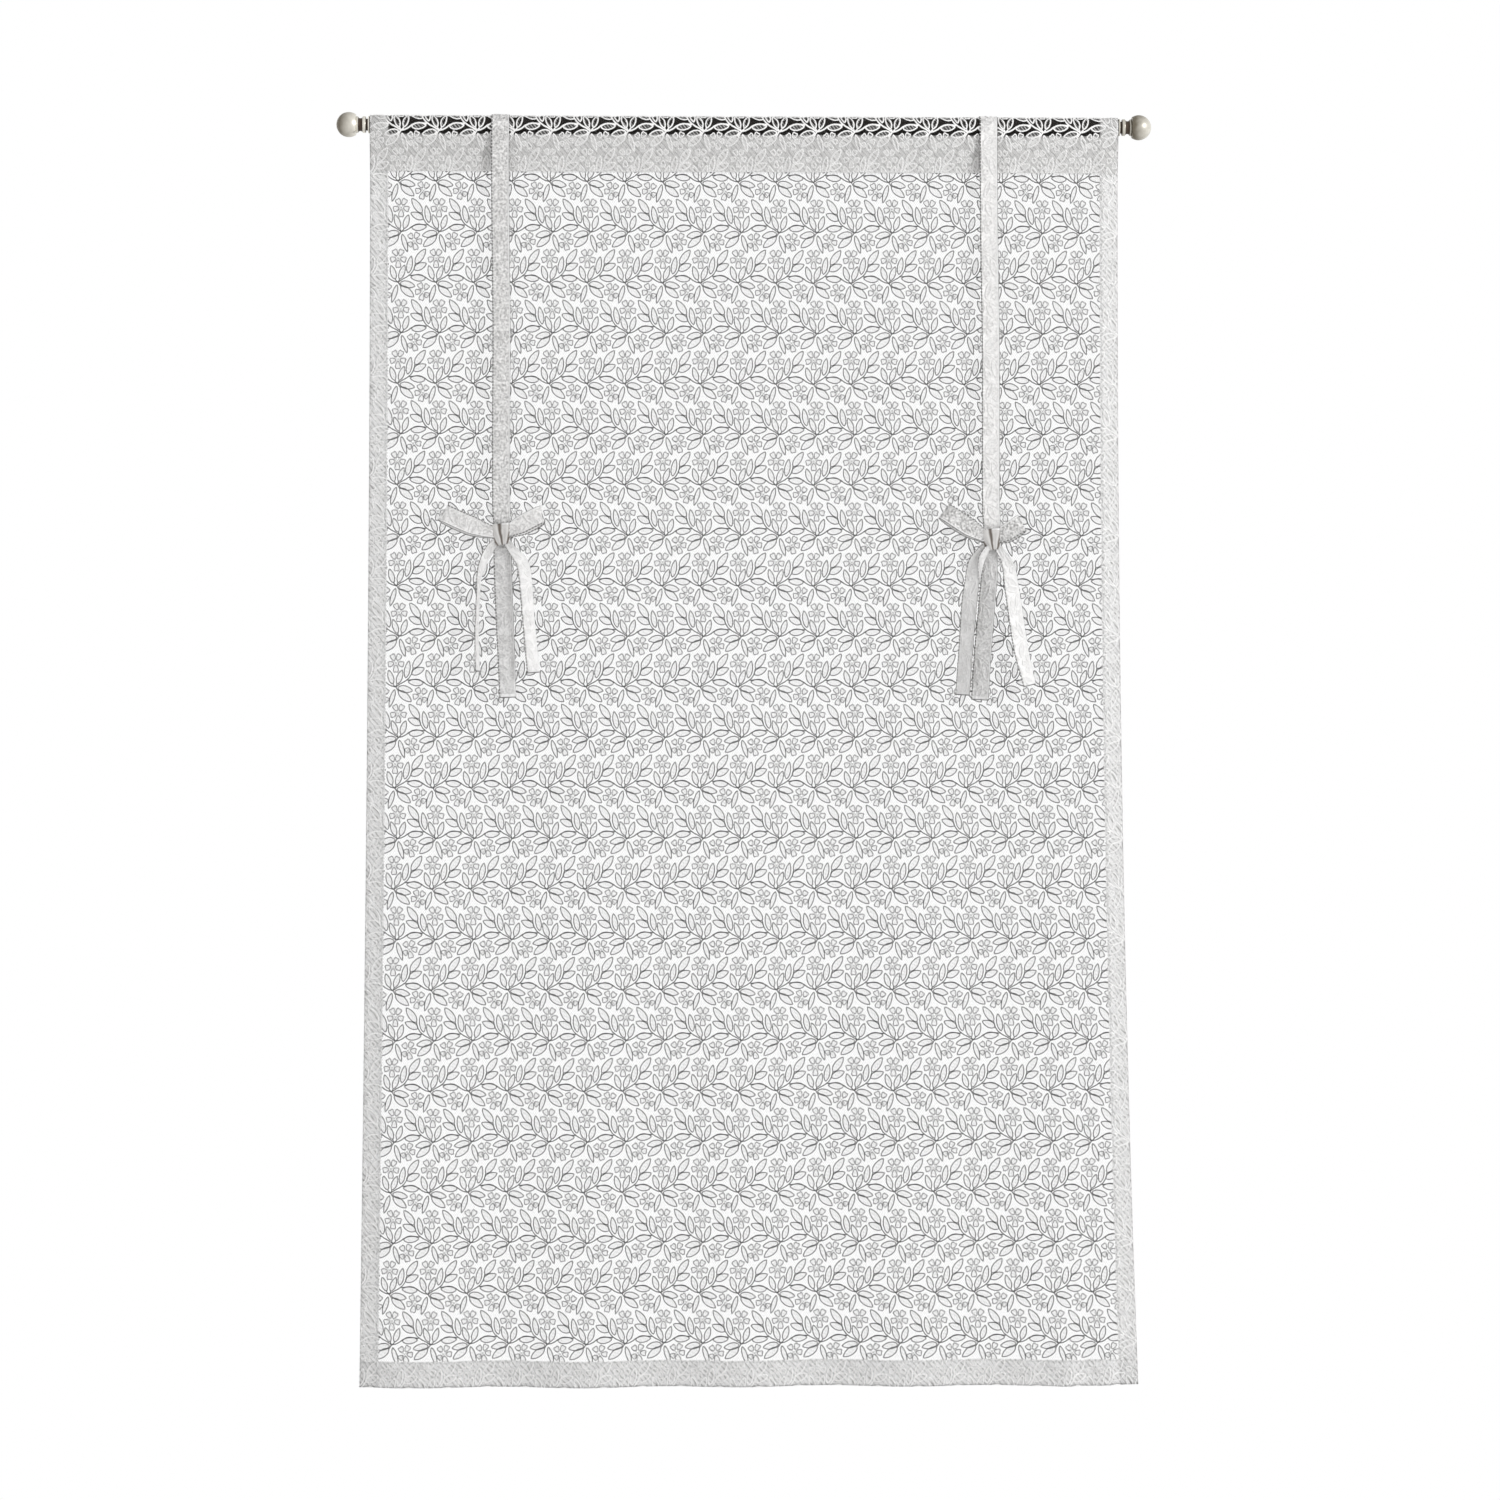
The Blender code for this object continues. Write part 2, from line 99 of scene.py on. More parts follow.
# %% Shader helpers
class Value:
    """A number that varies over a surface: one socket of a material being written."""

    def __init__(self, finish, socket):
        self.finish = finish
        self.socket = socket

    def math(self, operation, *others, clamp=False):
        inputs = {i: other for i, other in enumerate((self, *others))}
        settings = {"operation": operation, "use_clamp": clamp}
        return self.finish.node("ShaderNodeMath", settings, inputs)

    def __add__(self, other):
        return self.math("ADD", other)

    __radd__ = __add__

    def __sub__(self, other):
        return self.math("SUBTRACT", other)

    def __rsub__(self, other):
        return (self * -1) + other

    def __mul__(self, other):
        return self.math("MULTIPLY", other)

    __rmul__ = __mul__

    def __truediv__(self, other):
        return self.math("DIVIDE", other)

    def sine(self):
        return self.math("SINE")

    def size(self):
        return self.math("ABSOLUTE")

    def clamped(self):
        """Kept between 0 and 1."""
        return self.math("ADD", 0, clamp=True)

    def below(self, limit, soft):
        """1 under the limit and 0 over it, with a soft step between."""
        return ((limit - self) / soft + 0.5).clamped()

    def above(self, limit, soft):
        """1 over the limit and 0 under it, with a soft step between."""
        return (self * -1).below(-limit, soft)

    def most(self, other):
        return self.math("MAXIMUM", other)


class Finish:
    """One material, built node by node."""

    def __init__(self, name):
        self.material = bpy.data.materials.new(name)
        self.material.use_nodes = True
        self.tree = self.material.node_tree
        self.shader = self.tree.nodes["Principled BSDF"]
        self.output = self.tree.nodes["Material Output"]

    def node(self, kind, settings=None, inputs=None, out=0):
        node = self.tree.nodes.new(kind)
        for name, value in (settings or {}).items():
            setattr(node, name, value)
        for key, value in (inputs or {}).items():
            self.feed(node.inputs[key], value)
        return Value(self, node.outputs[out])

    def feed(self, socket, value):
        if isinstance(value, Value):
            self.tree.links.new(value.socket, socket)
        else:
            socket.default_value = value

    def set(self, **sockets):
        for name, value in sockets.items():
            self.feed(self.shader.inputs[name.replace("_", " ")], value)

    def place(self, coordinate="Object"):
        """Coordinates as three values, from the object or from its flat-cloth map."""
        where = self.node("ShaderNodeTexCoord", out=coordinate)
        parts = self.node("ShaderNodeSeparateXYZ", inputs={0: where})
        return [Value(self, socket) for socket in parts.socket.node.outputs]

    def blend(self, factor, low, high):
        """Mix of two colours: a Mix node keeps them in its sockets 6 and 7, and mixes them in 2."""
        return self.node("ShaderNodeMix", {"data_type": "RGBA"}, {0: factor, 6: low, 7: high}, out=2)

    def cloud(self, scale, detail=2.0, coordinate="Object"):
        where = self.node("ShaderNodeTexCoord", out=coordinate)
        inputs = {"Vector": where, "Scale": scale, "Detail": detail}
        return self.node("ShaderNodeTexNoise", inputs=inputs, out="Fac")

    def bump(self, height, depth, strength=1.0):
        inputs = {"Height": height, "Distance": depth, "Strength": strength}
        return self.node("ShaderNodeBump", inputs=inputs)


def grey(level, warmth=0.0):
    return (level, level * (1 - warmth / 2), level * (1 - warmth), 1.0)


# %% [markdown]
# ## How flat lace hangs
#
# Lace is knitted flat, so its pattern, its hems and its stitches are laid out flat, in metres
# across the cloth, up from the pocket's seam, and off its face. One function then hangs any
# such point: below the seam the cloth falls in slow waves, above it the cloth climbs to the
# rod, wraps it and comes down behind to the same seam. Past the sides and the foot it is
# turned to the back, as a hem is. Every piece of the curtain goes through this function, so
# threads, net and stitches stay on each other in every fold.

# %% Hanging rule
PANEL_WIDTH = 0.9422
FLAT_WIDTH = 0.99
SIDE_HEM = 0.024
FOOT_HEM = 0.033
SEAM = -0.058
FOOT = -1.588
DROP = SEAM - FOOT
FLARE_LEFT, FLARE_RIGHT = 0.014, 0.027
WRAP = 0.0117  # radius of the cloth on the rod
LAYER = 0.0009  # from one layer of cloth to the layer turned behind it
TURNED_IN = 0.0004  # a turned hem lies this much closer to the rod

TOP_LEFT, TOP_RIGHT = -0.3072, 0.3068  # middle of each tie on the pocket
WAVE_PITCH = (TOP_RIGHT - TOP_LEFT) / 3
WAVE_DEPTH = 0.0075
# ripple near each side hem: middle, spread, start, length of one ripple, lean, depth
RIPPLES = ((0.425, 0.045, 0.4, 0.056, -2, 0.0034), (-0.44, 0.03, -0.4, 0.06, 3, 0.0015))
PUCKER_DEPTH = 0.0009
PUCKER_REACH = 0.11  # the puckers fade over this distance from the seam

TILT = asin(WRAP / -SEAM)
CLIMB = sqrt(SEAM**2 - WRAP**2)
ARC = (pi + 2 * TILT) * WRAP
POCKET = 2 * CLIMB + ARC
print("cloth in the pocket", round(POCKET * 1000), "mm")


def waves(x, down):
    """How far the cloth stands behind the seam's plane."""
    broad = np.cos(2 * pi * (x - TOP_RIGHT) / WAVE_PITCH)
    broad += 0.35 * np.sin(2 * pi * x / (2.6 * WAVE_PITCH) + 0.4)
    ripples = 0
    for middle, spread, start, length, lean, depth in RIPPLES:
        near = np.exp(-(((x - middle) / spread) ** 2))
        ripples += depth * near * np.sin(2 * pi * (x - start) / length + lean * down)
    return WAVE_DEPTH * down**0.8 * broad + np.clip(down * 5, 0, 1) * ripples


def gathers(x, away):
    """Small puckers where the cloth is sewn and pushed together on the rod."""
    ripple = np.sin(2 * pi * x / 0.041 + 2 * np.sin(11 * x)) + 0.5 * np.sin(2 * pi * x / 0.023 + 1)
    return PUCKER_DEPTH * ripple * np.exp(-away / PUCKER_REACH)


def hang(flat):
    """Places in space of points on the flat cloth: across, up from the seam, and off its face."""
    across, up, off = flat.T
    half = FLAT_WIDTH / 2
    side = np.clip(np.abs(across) - half, 0, None)
    foot = np.clip(-DROP - up, 0, None)
    across = np.sign(across) * (np.minimum(np.abs(across), half) - side)
    up = np.maximum(up, -DROP) + foot
    turned = (side > 0).astype(float) + (foot > 0)
    off = off * np.where(turned % 2 > 0.5, -1, 1)

    down = np.clip(-up / DROP, 0, 1)
    x = across / half * PANEL_WIDTH / 2
    x = x + np.where(x < 0, FLARE_LEFT * down**1.6, FLARE_RIGHT * down**2.2) * 2 * x / PANEL_WIDTH
    low_y = waves(x, down) + gathers(x, -np.minimum(up, 0)) + LAYER * turned - off
    low_z = SEAM + np.minimum(up, 0)

    climb = np.clip(up, 0, POCKET)
    turn = np.clip(climb - CLIMB, 0, ARC) / WRAP - TILT
    radius = WRAP + off - TURNED_IN * turned
    rod_y, rod_z = -radius * np.cos(turn), radius * np.sin(turn)
    before = np.clip((CLIMB - climb) / CLIMB, 0, 1)
    after = np.clip((climb - CLIMB - ARC) / CLIMB, 0, 1)
    slack = before + after
    seam_y = gathers(x, 0 * x) + np.where(after > 0, LAYER, 0) - off * np.where(after > 0, -1, 1)
    high_y = rod_y * (1 - slack) + seam_y * slack
    high_z = rod_z * (1 - slack) + SEAM * slack
    below = up <= 0
    return np.stack([x, np.where(below, low_y, high_y), np.where(below, low_z, high_z)], axis=1)


# %% [markdown]
# ## From a flat mesh to a hanging one
#
# A mesh is drawn flat with Blender's own operators. Its flat coordinates are kept as a UV map,
# so that the net and the hatching follow the cloth, and then its points are moved.


# %% Mesh helpers
def points_of(mesh):
    co = np.empty(len(mesh.vertices) * 3)
    mesh.vertices.foreach_get("co", co)
    return co.reshape(-1, 3)


def keep_flat_map(mesh, end=None):
    """UV map in metres on the flat cloth, counted back from an end where one is given."""
    flat = points_of(mesh)[:, :2]
    if end is not None:
        flat[:, 1] = end - flat[:, 1]
    corner = np.empty(len(mesh.loops), dtype=np.int32)
    mesh.loops.foreach_get("vertex_index", corner)
    layer = mesh.uv_layers.new(name="flat cloth")
    layer.uv.foreach_set("vector", flat[corner].ravel())


def shape(mesh, rule, end=None):
    keep_flat_map(mesh, end)
    mesh.vertices.foreach_set("co", rule(points_of(mesh)).ravel())
    mesh.update()


def piece(name, bm, finishes, rule=None, smooth=True):
    """Object from a bmesh, hung by a rule where one is given."""
    mesh = bpy.data.meshes.new(name)
    for face in bm.faces:
        face.smooth = smooth
    bm.to_mesh(mesh)
    bm.free()
    if rule:
        shape(mesh, rule)
    for finish in finishes:
        mesh.materials.append(finish.material)
    obj = bpy.data.objects.new(name, mesh)
    bpy.context.scene.collection.objects.link(obj)
    print(name, sum(len(f.vertices) - 2 for f in mesh.polygons), "triangles")
    return obj


def cut_across(bm, axis, place, side=1, trim=False):
    """Cut a flat mesh along a line, and trim what lies past it on one side."""
    point, normal = [0, 0, 0], [0, 0, 0]
    point[axis], normal[axis] = place, side
    everything = bm.verts[:] + bm.edges[:] + bm.faces[:]
    bmesh.ops.bisect_plane(
        bm, geom=everything, dist=1e-7, plane_co=point, plane_no=normal, clear_outer=trim
    )


def cut_to(bm, low, high):
    """Trim a flat mesh to a rectangle."""
    for side, place in ((-1, low), (1, high)):
        for axis in (0, 1):
            cut_across(bm, axis, place[axis], side, trim=True)


def crease_at(bm, axis, places):
    """Add an edge line at each place, so that a fold there stays sharp."""
    for place in places:
        cut_across(bm, axis, place)


# %% [markdown]
# ## Finishes of the lace
#
# Warp-knitted lace has three densities. The ground is an open net of fine threads, so most of
# it is air. Leaves and petals are filled with close slanting rows. Their outlines are a thick
# twisted thread that stands off the ground and carries the drawing. The net and the filling
# are cut out of the sheet with Alpha, at their real spacing of about two millimetres; the
# outline is real geometry. Seen from the front the outline is dark where light comes through
# the net, and white where the cloth lies double, so its tones change at the hems. That dark is
# painted shade on a white thread, as is the darker and lighter alternation along its twist,
# and the pocket's cloth is painted greyer than the hems.

# %% Lace finishes
NET_PITCH, NET_LEAN = 0.0023, 0.6
FILLING_PITCH = 0.0019
OVER_ROD_PITCH = 0.0048  # seen against the dark rod, the filling is coarser
STROKE_PITCH = 0.0066  # of the strokes of shade on the hems
TWIST_PITCH = 0.0034
KNIT_LEAN = 0.9
STEP = 0.0004  # softness of the line where one area of cloth ends
ROD_SHOWS = CLIMB - 0.0115, CLIMB + ARC * 0.6  # up the cloth in front of the rod
RELIEF = 0.0004  # how far the threads stand up in the Bump

LACE_WHITE = grey(0.86, 0.01)
LACE_SHADE = grey(0.70, 0.02)
NET_SHADE = grey(0.78, 0.01)
HEM_WHITE = grey(0.99, 0.005)
HEM_SHADE = grey(0.50, 0.02)
# painted shade: the pocket's white cloth is greyer than the hems
POCKET_GREY = grey(0.84, 0.02)


def slanting(u, v, pitch, lean):
    """Distance from the nearest of many slanting threads, 0 on it and 1 halfway."""
    return ((u + v * lean) * (pi / pitch)).sine().size()


def doubled(u, v):
    """1 where the cloth lies double: both side hems, the foot hem and the pocket."""
    side = u.size().above(FLAT_WIDTH / 2 - SIDE_HEM, STEP)
    foot = v.below(FOOT_HEM - DROP, STEP)
    return side.most(foot).most(in_pocket(v))


def in_pocket(v):
    """1 above the seam."""
    return v.above(0.0, STEP)


def over_rod(u, v):
    """1 on the single layer in front of the rod."""
    between = u.size().below(FLAT_WIDTH / 2 - SIDE_HEM, 0.004)
    return v.above(ROD_SHOWS[0], 0.003) * v.below(ROD_SHOWS[1], 0.004) * between


def hem_rows(finish, u, v):
    """Short wandering strokes of shade where two layers of cloth lie on each other."""
    wander = finish.cloud(55.0, coordinate="UV") * 0.009
    stroke = slanting(u + wander, v, STROKE_PITCH, KNIT_LEAN).below(0.34, 0.3)
    return stroke * finish.cloud(170.0, coordinate="UV").below(0.56, 0.16)


def net_finish():
    finish = Finish("lace net")
    u, v, _ = finish.place("UV")
    one, other = (slanting(u, v, NET_PITCH, lean).below(0.30, 0.2) for lean in (NET_LEAN, -NET_LEAN))
    threads = one.most(other)
    hem, rod = doubled(u, v), over_rod(u, v)
    cloth = finish.blend(finish.cloud(40.0, coordinate="UV"), NET_SHADE, LACE_WHITE)
    rows = hem_rows(finish, u, v)
    # painted shade: the net is greyer in the pocket than in the hems
    plain = finish.blend(in_pocket(v), HEM_WHITE, POCKET_GREY)
    finish.set(
        Base_Color=finish.blend(hem, cloth, finish.blend(rows, plain, HEM_SHADE)),
        Roughness=0.9,
        Alpha=threads * (0.4 - rod * 0.36) + (hem - rod) * 0.5,
        Normal=finish.bump(threads - rows * hem, RELIEF),
    )
    return finish


def filling_finish():
    finish = Finish("lace filling")
    u, v, _ = finish.place("UV")
    row = slanting(u, v, FILLING_PITCH, KNIT_LEAN).below(0.55, 0.4)
    hem = doubled(u, v)
    open_cloth = finish.blend(row, LACE_SHADE, LACE_WHITE)
    rows = hem_rows(finish, u, v)
    coarse = slanting(u, v, OVER_ROD_PITCH, KNIT_LEAN).below(0.5, 0.4)
    # painted shade: the filling is greyer in the pocket than in the hems
    plain = finish.blend(in_pocket(v), grey(0.98, 0.01), grey(0.88, 0.02))
    double_cloth = finish.blend(rows, plain, grey(0.46, 0.03))
    finish.set(
        Base_Color=finish.blend(hem, open_cloth, double_cloth),
        Roughness=0.9,
        Alpha=row * 0.42 + hem * 0.44 + over_rod(u, v) * (coarse * 0.55 - 0.72) + 0.14,
        Normal=finish.bump(row - rows * hem, RELIEF),
    )
    return finish


def outline_finish():
    finish = Finish("lace outline thread")
    u, v, _ = finish.place("UV")
    twist = slanting(u, v, TWIST_PITCH, 1.0)
    hem = doubled(u, v)
    below_rod = in_pocket(v) * (1 - over_rod(u, v))
    # Painted shade and light: the white thread is nearly black where light comes through the open net
    # behind it, and greyer in the pocket away from the rod. Along its twist it alternates a darker and
    # a lighter tone.
    dark = finish.blend(hem, grey(0.01, 0.02), grey(0.84, 0.02))
    dark = finish.blend(below_rod, dark, grey(0.62, 0.02))
    light = finish.blend(hem, grey(0.11, 0.02), grey(1.0, 0.01))
    light = finish.blend(below_rod, light, grey(0.90, 0.01))
    finish.set(
        Base_Color=finish.blend(twist, dark, light),
        Roughness=0.85,
        Normal=finish.bump(twist, 0.0003),
    )
    return finish


def stitch_finish():
    finish = Finish("sewing thread")
    u, v, _ = finish.place("UV")
    twist = slanting(u, v, 0.0006, 1.0)
    # Real stitches, but their dark grey is painted shade: the thread is darker than the white cloth so
    # each row reads as a shaded line.
    finish.set(
        Base_Color=finish.blend(twist, grey(0.30), grey(0.62)),
        Roughness=0.6,
        Normal=finish.bump(twist, 0.0001),
    )
    return finish


net, filling, outline, stitching = net_finish(), filling_finish(), outline_finish(), stitch_finish()

# %% [markdown]
# ## The lace ground
#
# The ground is a grid of the whole cut cloth: the finished width with both side hems, the
# drop, the foot hem, and the length that goes round the rod. Rows lie closer in the pocket,
# where the cloth turns a tight bend. Edge lines are added where the hems fold.

# %% Lace ground
CUT_HALF = FLAT_WIDTH / 2 + SIDE_HEM
COLUMNS, ROWS = 200, 210
# how the rows are shared out: height in the grid, from -1 to 1, and height on the cloth
GRID_HEIGHTS = (-1, 0.62, 0.72, 0.92, 1)
CLOTH_HEIGHTS = (-DROP - FOOT_HEM, 0, CLIMB, CLIMB + ARC, POCKET)


def lace_ground():
    bm = bmesh.new()
    bmesh.ops.create_grid(bm, x_segments=COLUMNS, y_segments=ROWS, size=1)
    for vert in bm.verts:
        vert.co.x *= CUT_HALF
        vert.co.y = np.interp(vert.co.y, GRID_HEIGHTS, CLOTH_HEIGHTS)
    crease_at(bm, 0, (-FLAT_WIDTH / 2, FLAT_WIDTH / 2))
    crease_at(bm, 1, (-DROP,))
    return piece("lace_ground", bm, [net], hang)


ground = lace_ground()

# %% [markdown]
# ## One repeat of the pattern
#
# The design is a traditional one of leafy sprays and small five-petalled flowers. A wavy stem
# runs across the cloth, and from each of its knots a spray rises to one side, three leaves hang
# down, and a flower sits in each gap. The next row is the same, mirrored. One repeat is drawn
# here once. A leaf starts as a filled circle, is pulled to a leaf shape, and is inset twice:
# the edge between the two insets is raised, which makes the round thread of its outline.

# %% Leaves, petals and stems
REPEAT_WIDTH = 0.0499
ROW_HEIGHT = 0.0636
UNIT_X = REPEAT_WIDTH / 504
UNIT_Y = ROW_HEIGHT / 657
THREAD = 0.00054  # half the width of the outline thread
POCKET_THREAD = 1.6 * THREAD
THREAD_HEIGHT = 0.0007

# each leaf as (foot x, foot y, tip x, tip y, width), in 504ths of a repeat from its main knot
LEAVES = (
    (-224, 240, -366, 436, 96), (-202, 166, -380, 246, 92), (-130, 112, -174, 345, 80),
    (-16, 34, -88, 226, 80), (38, 34, 100, 222, 80), (136, 50, 344, 66, 92),
    (-22, -10, -228, -52, 92), (-30, -50, -212, -194, 98), (12, -30, 86, -270, 68),
)
# each flower as (x, y, petals), each petal as (direction in degrees, reach)
PETAL_FOOT, PETAL_WIDTH = 26, 90
FLOWERS = (
    (0, 318, ((118, 136), (60, 138), (-16, 126), (197, 126), (-90, 150))),
    (170, -116, ((126, 122), (62, 134), (-7, 124), (226, 112), (-76, 142))),
)
FLOWER_CROSS = (((-62, 26), (0, 0), (44, -62)), ((58, 28), (0, 0), (-46, -60)))
STEMS = (
    ((0, 0), (-62, 42), (-150, 86), (-206, 150), (-226, 240)),
    ((0, 0), (40, 6), (88, 24), (140, 66), (215, 98), (288, 94), (350, 86)),
    ((0, 0), (-10, 20), (-16, 36)),
    ((0, 0), (22, 14), (38, 36)),
    ((0, 0), (-30, -48), (-34, -52)),
)


def outlined(bm, foot, tip, width, segments, thread, leaf):
    """Leaf or petal: hatched filling inside a raised thread."""
    made = bmesh.ops.create_circle(bm, cap_ends=True, radius=1, segments=segments)
    verts = made["verts"]
    foot, tip = (Vector((x * UNIT_X, y * UNIT_Y)) for x, y in (foot, tip))
    axis = tip - foot
    across = Vector((axis.y, -axis.x)).normalized() * width * UNIT_X / 2
    for vert in verts:
        along, side = vert.co.y, vert.co.x
        if leaf:
            side = abs(side) ** 1.3 * (1 if side > 0 else -1) * (1.06 - 0.16 * along)
        else:
            side *= 0.84 + 0.24 * along
            along -= 1.4 * max(0.0, along - 0.75)
        spot = foot + axis * (along + 1) / 2 + across * side
        vert.co = (spot.x, spot.y, 0)
    face = verts[0].link_faces[0]
    face.normal_update()
    if face.normal.z < 0:
        face.normal_flip()
    face.material_index = 1
    for height in (THREAD_HEIGHT, THREAD_HEIGHT * 0.3):
        ring = bmesh.ops.inset_individual(bm, faces=[face], thickness=thread, use_even_offset=True)
        for quad in ring["faces"]:
            quad.material_index = 0
        for vert in face.verts:
            vert.co.z = height


def stem(bm, route, half_width):
    """Raised thread along a route."""
    points = np.array([(x * UNIT_X, y * UNIT_Y) for x, y in route])
    run = np.concatenate([[0], np.cumsum(np.linalg.norm(np.diff(points, axis=0), axis=1))])
    steps = max(2, len(route))
    made = bmesh.ops.create_grid(bm, x_segments=steps, y_segments=2, size=1)
    near = run[-1] * 0.04

    def place(length):
        return [np.interp(length, run, axis) for axis in points.T]

    for vert in made["verts"]:
        at = (vert.co.x + 1) / 2 * run[-1]
        here, before, after = place(at), place(max(0, at - near)), place(min(run[-1], at + near))
        side = Vector((before[1] - after[1], after[0] - before[0])).normalized()
        side *= half_width * vert.co.y
        vert.co = (here[0] + side.x, here[1] + side.y, THREAD_HEIGHT * (1 - abs(vert.co.y)))


def one_repeat(thread):
    """Mesh of one repeat, drawn with a thread of the given half width."""
    bm = bmesh.new()
    for foot_x, foot_y, tip_x, tip_y, width in LEAVES:
        outlined(bm, (foot_x, foot_y), (tip_x, tip_y), width, 12, thread, True)
    for x, y, petals in FLOWERS:
        for degrees, reach in petals:
            turn = radians(degrees)
            foot, tip = ((x + far * cos(turn), y + far * sin(turn)) for far in (PETAL_FOOT, reach))
            outlined(bm, foot, tip, PETAL_WIDTH, 10, thread * 0.82, False)
        for route in FLOWER_CROSS:
            stem(bm, [(x + right, y + up) for right, up in route], thread * 0.4)
    for route in STEMS:
        stem(bm, route, thread * 1.2)
    mesh = bpy.data.meshes.new("repeat")
    bm.to_mesh(mesh)
    bm.free()
    print("one repeat:", len(mesh.polygons), "faces")
    return mesh


repeat = one_repeat(THREAD)
pocket_repeat = one_repeat(POCKET_THREAD)

# %% [markdown]
# ## Repeats laid over the cloth
#
# A row is the repeat copied across, and every other row is its mirror image. Rows are placed by
# where the photograph shows the knots of the stems, laid flat over the cut cloth, trimmed to its
# edges, and hung. They are kept as bands, so that no mesh grows too heavy. The pocket is a band of
# its own: pushed together on the rod, its threads lie close and read thicker.

# %% Rows of the pattern
FIRST_NODE = -0.0048  # across, for the rows that lean left
MIRROR_SHIFT = -0.0037
FIRST_ROW = -0.0763  # up from the seam
TRIM = 0.001  # the pattern ends this far inside the cut edge
SEAM_GAP = 0.0006
POCKET_TRIM = 0.002
PATTERN_LIFT = 0.00012  # keeps the filling just off the net


def pattern_row(mesh, mirrored, low, high):
    """One row of repeats from low to high across, about a stem at height 0."""
    bm = bmesh.new()
    start = FIRST_NODE + (MIRROR_SHIFT if mirrored else 0)
    first = int(np.floor((low - start) / REPEAT_WIDTH)) - 1
    last = int(np.ceil((high - start) / REPEAT_WIDTH)) + 1
    for column in range(first, last + 1):
        count = len(bm.verts)
        bm.from_mesh(mesh)
        bm.verts.ensure_lookup_table()
        fresh = bm.verts[count:]
        if mirrored:
            bmesh.ops.scale(bm, vec=(-1, 1, 1), verts=fresh)
        bmesh.ops.translate(bm, vec=(start + column * REPEAT_WIDTH, 0, 0), verts=fresh)
    if mirrored:
        bmesh.ops.reverse_faces(bm, faces=bm.faces[:])
    row = bpy.data.meshes.new("row")
    bm.to_mesh(row)
    bm.free()
    return row


def pattern(low, high, mesh=repeat):
    """Bmesh of the flat pattern, trimmed to a rectangle."""
    rows = [pattern_row(mesh, mirrored, low[0], high[0]) for mirrored in (False, True)]
    bm = bmesh.new()
    first = int(np.floor((low[1] - FIRST_ROW) / ROW_HEIGHT)) - 1
    last = int(np.ceil((high[1] - FIRST_ROW) / ROW_HEIGHT)) + 1
    for row in range(first, last + 1):
        count = len(bm.verts)
        bm.from_mesh(rows[row % 2])
        bm.verts.ensure_lookup_table()
        bmesh.ops.translate(bm, vec=(0, FIRST_ROW + row * ROW_HEIGHT, 0), verts=bm.verts[count:])
    cut_to(bm, low, high)
    for row in rows:
        bpy.data.meshes.remove(row)
    return bm


def lace_bands(count=4):
    """Equal bands below the seam, and one in the pocket."""
    bands = []
    places = [*np.linspace(-DROP - FOOT_HEM, -SEAM_GAP, count + 1), POCKET - POCKET_TRIM]
    for k, (low, high) in enumerate(zip(places, places[1:])):
        drawn = pocket_repeat if k == count else repeat
        bm = pattern((-CUT_HALF + TRIM, low), (CUT_HALF - TRIM, high), drawn)
        crease_at(bm, 0, (-FLAT_WIDTH / 2, FLAT_WIDTH / 2))
        if k == 0:
            crease_at(bm, 1, (-DROP,))
        bmesh.ops.translate(bm, vec=(0, 0, PATTERN_LIFT), verts=bm.verts[:])
        bands.append(piece(f"lace_pattern_{k + 1}", bm, [outline, filling], hang))
    return bands


bands = lace_bands()

# %% [markdown]
# ## Stitches
#
# The pocket, the side hems and the foot hem are each closed by a row of machine stitches. Each
# stitch is a small long bead pressed into the cloth, a few millimetres long, with a gap after it.

# %% Stitches
STITCH_PITCH = 0.0046
STITCH_LENGTH = 0.0036
STITCH_WIDTH = 0.0009
STITCH_DEPTH = 0.0004
STITCH_OFF = 0.0006
FROM_HEM_EDGE = 0.0018
FROM_SEAM = 0.0012


def stitch_row(bm, start, end):
    """Stitches in a straight line on the flat cloth."""
    start, end = Vector(start), Vector(end)
    run = end - start
    count = int(run.length / STITCH_PITCH)
    upright = abs(run.y) > abs(run.x)
    long, wide = STITCH_LENGTH / 2, STITCH_WIDTH / 2
    size = (wide, long, STITCH_DEPTH) if upright else (long, wide, STITCH_DEPTH)
    for k in range(count):
        made = bmesh.ops.create_icosphere(bm, subdivisions=1, radius=1)
        bmesh.ops.scale(bm, vec=size, verts=made["verts"])
        spot = start + run * ((k + 0.5) / count)
        bmesh.ops.translate(bm, vec=(spot.x, spot.y, STITCH_OFF), verts=made["verts"])


def stitches():
    bm = bmesh.new()
    half = FLAT_WIDTH / 2 - TRIM
    hem = FLAT_WIDTH / 2 - SIDE_HEM + FROM_HEM_EDGE
    foot = -DROP + FOOT_HEM - FROM_HEM_EDGE
    for up in (-FROM_SEAM, foot):
        stitch_row(bm, (-half, up, 0), (half, up, 0))
    for side in (-hem, hem):
        stitch_row(bm, (side, -0.004, 0), (side, -DROP + 0.002, 0))
    return piece("hem_stitches", bm, [stitching], hang)


sewing = stitches()

# %% [markdown]
# ## Ties and bows
#
# The ties are bands cut from the same lace, doubled and sewn, so they are nearly solid. Each is
# a flat strip led along a route: points in space, each with a direction across the strip and a
# width. Between the points the route is a smooth curve. The strip has a rolled edge on both
# sides, and the pattern of the cloth is laid on it and led along the same route.


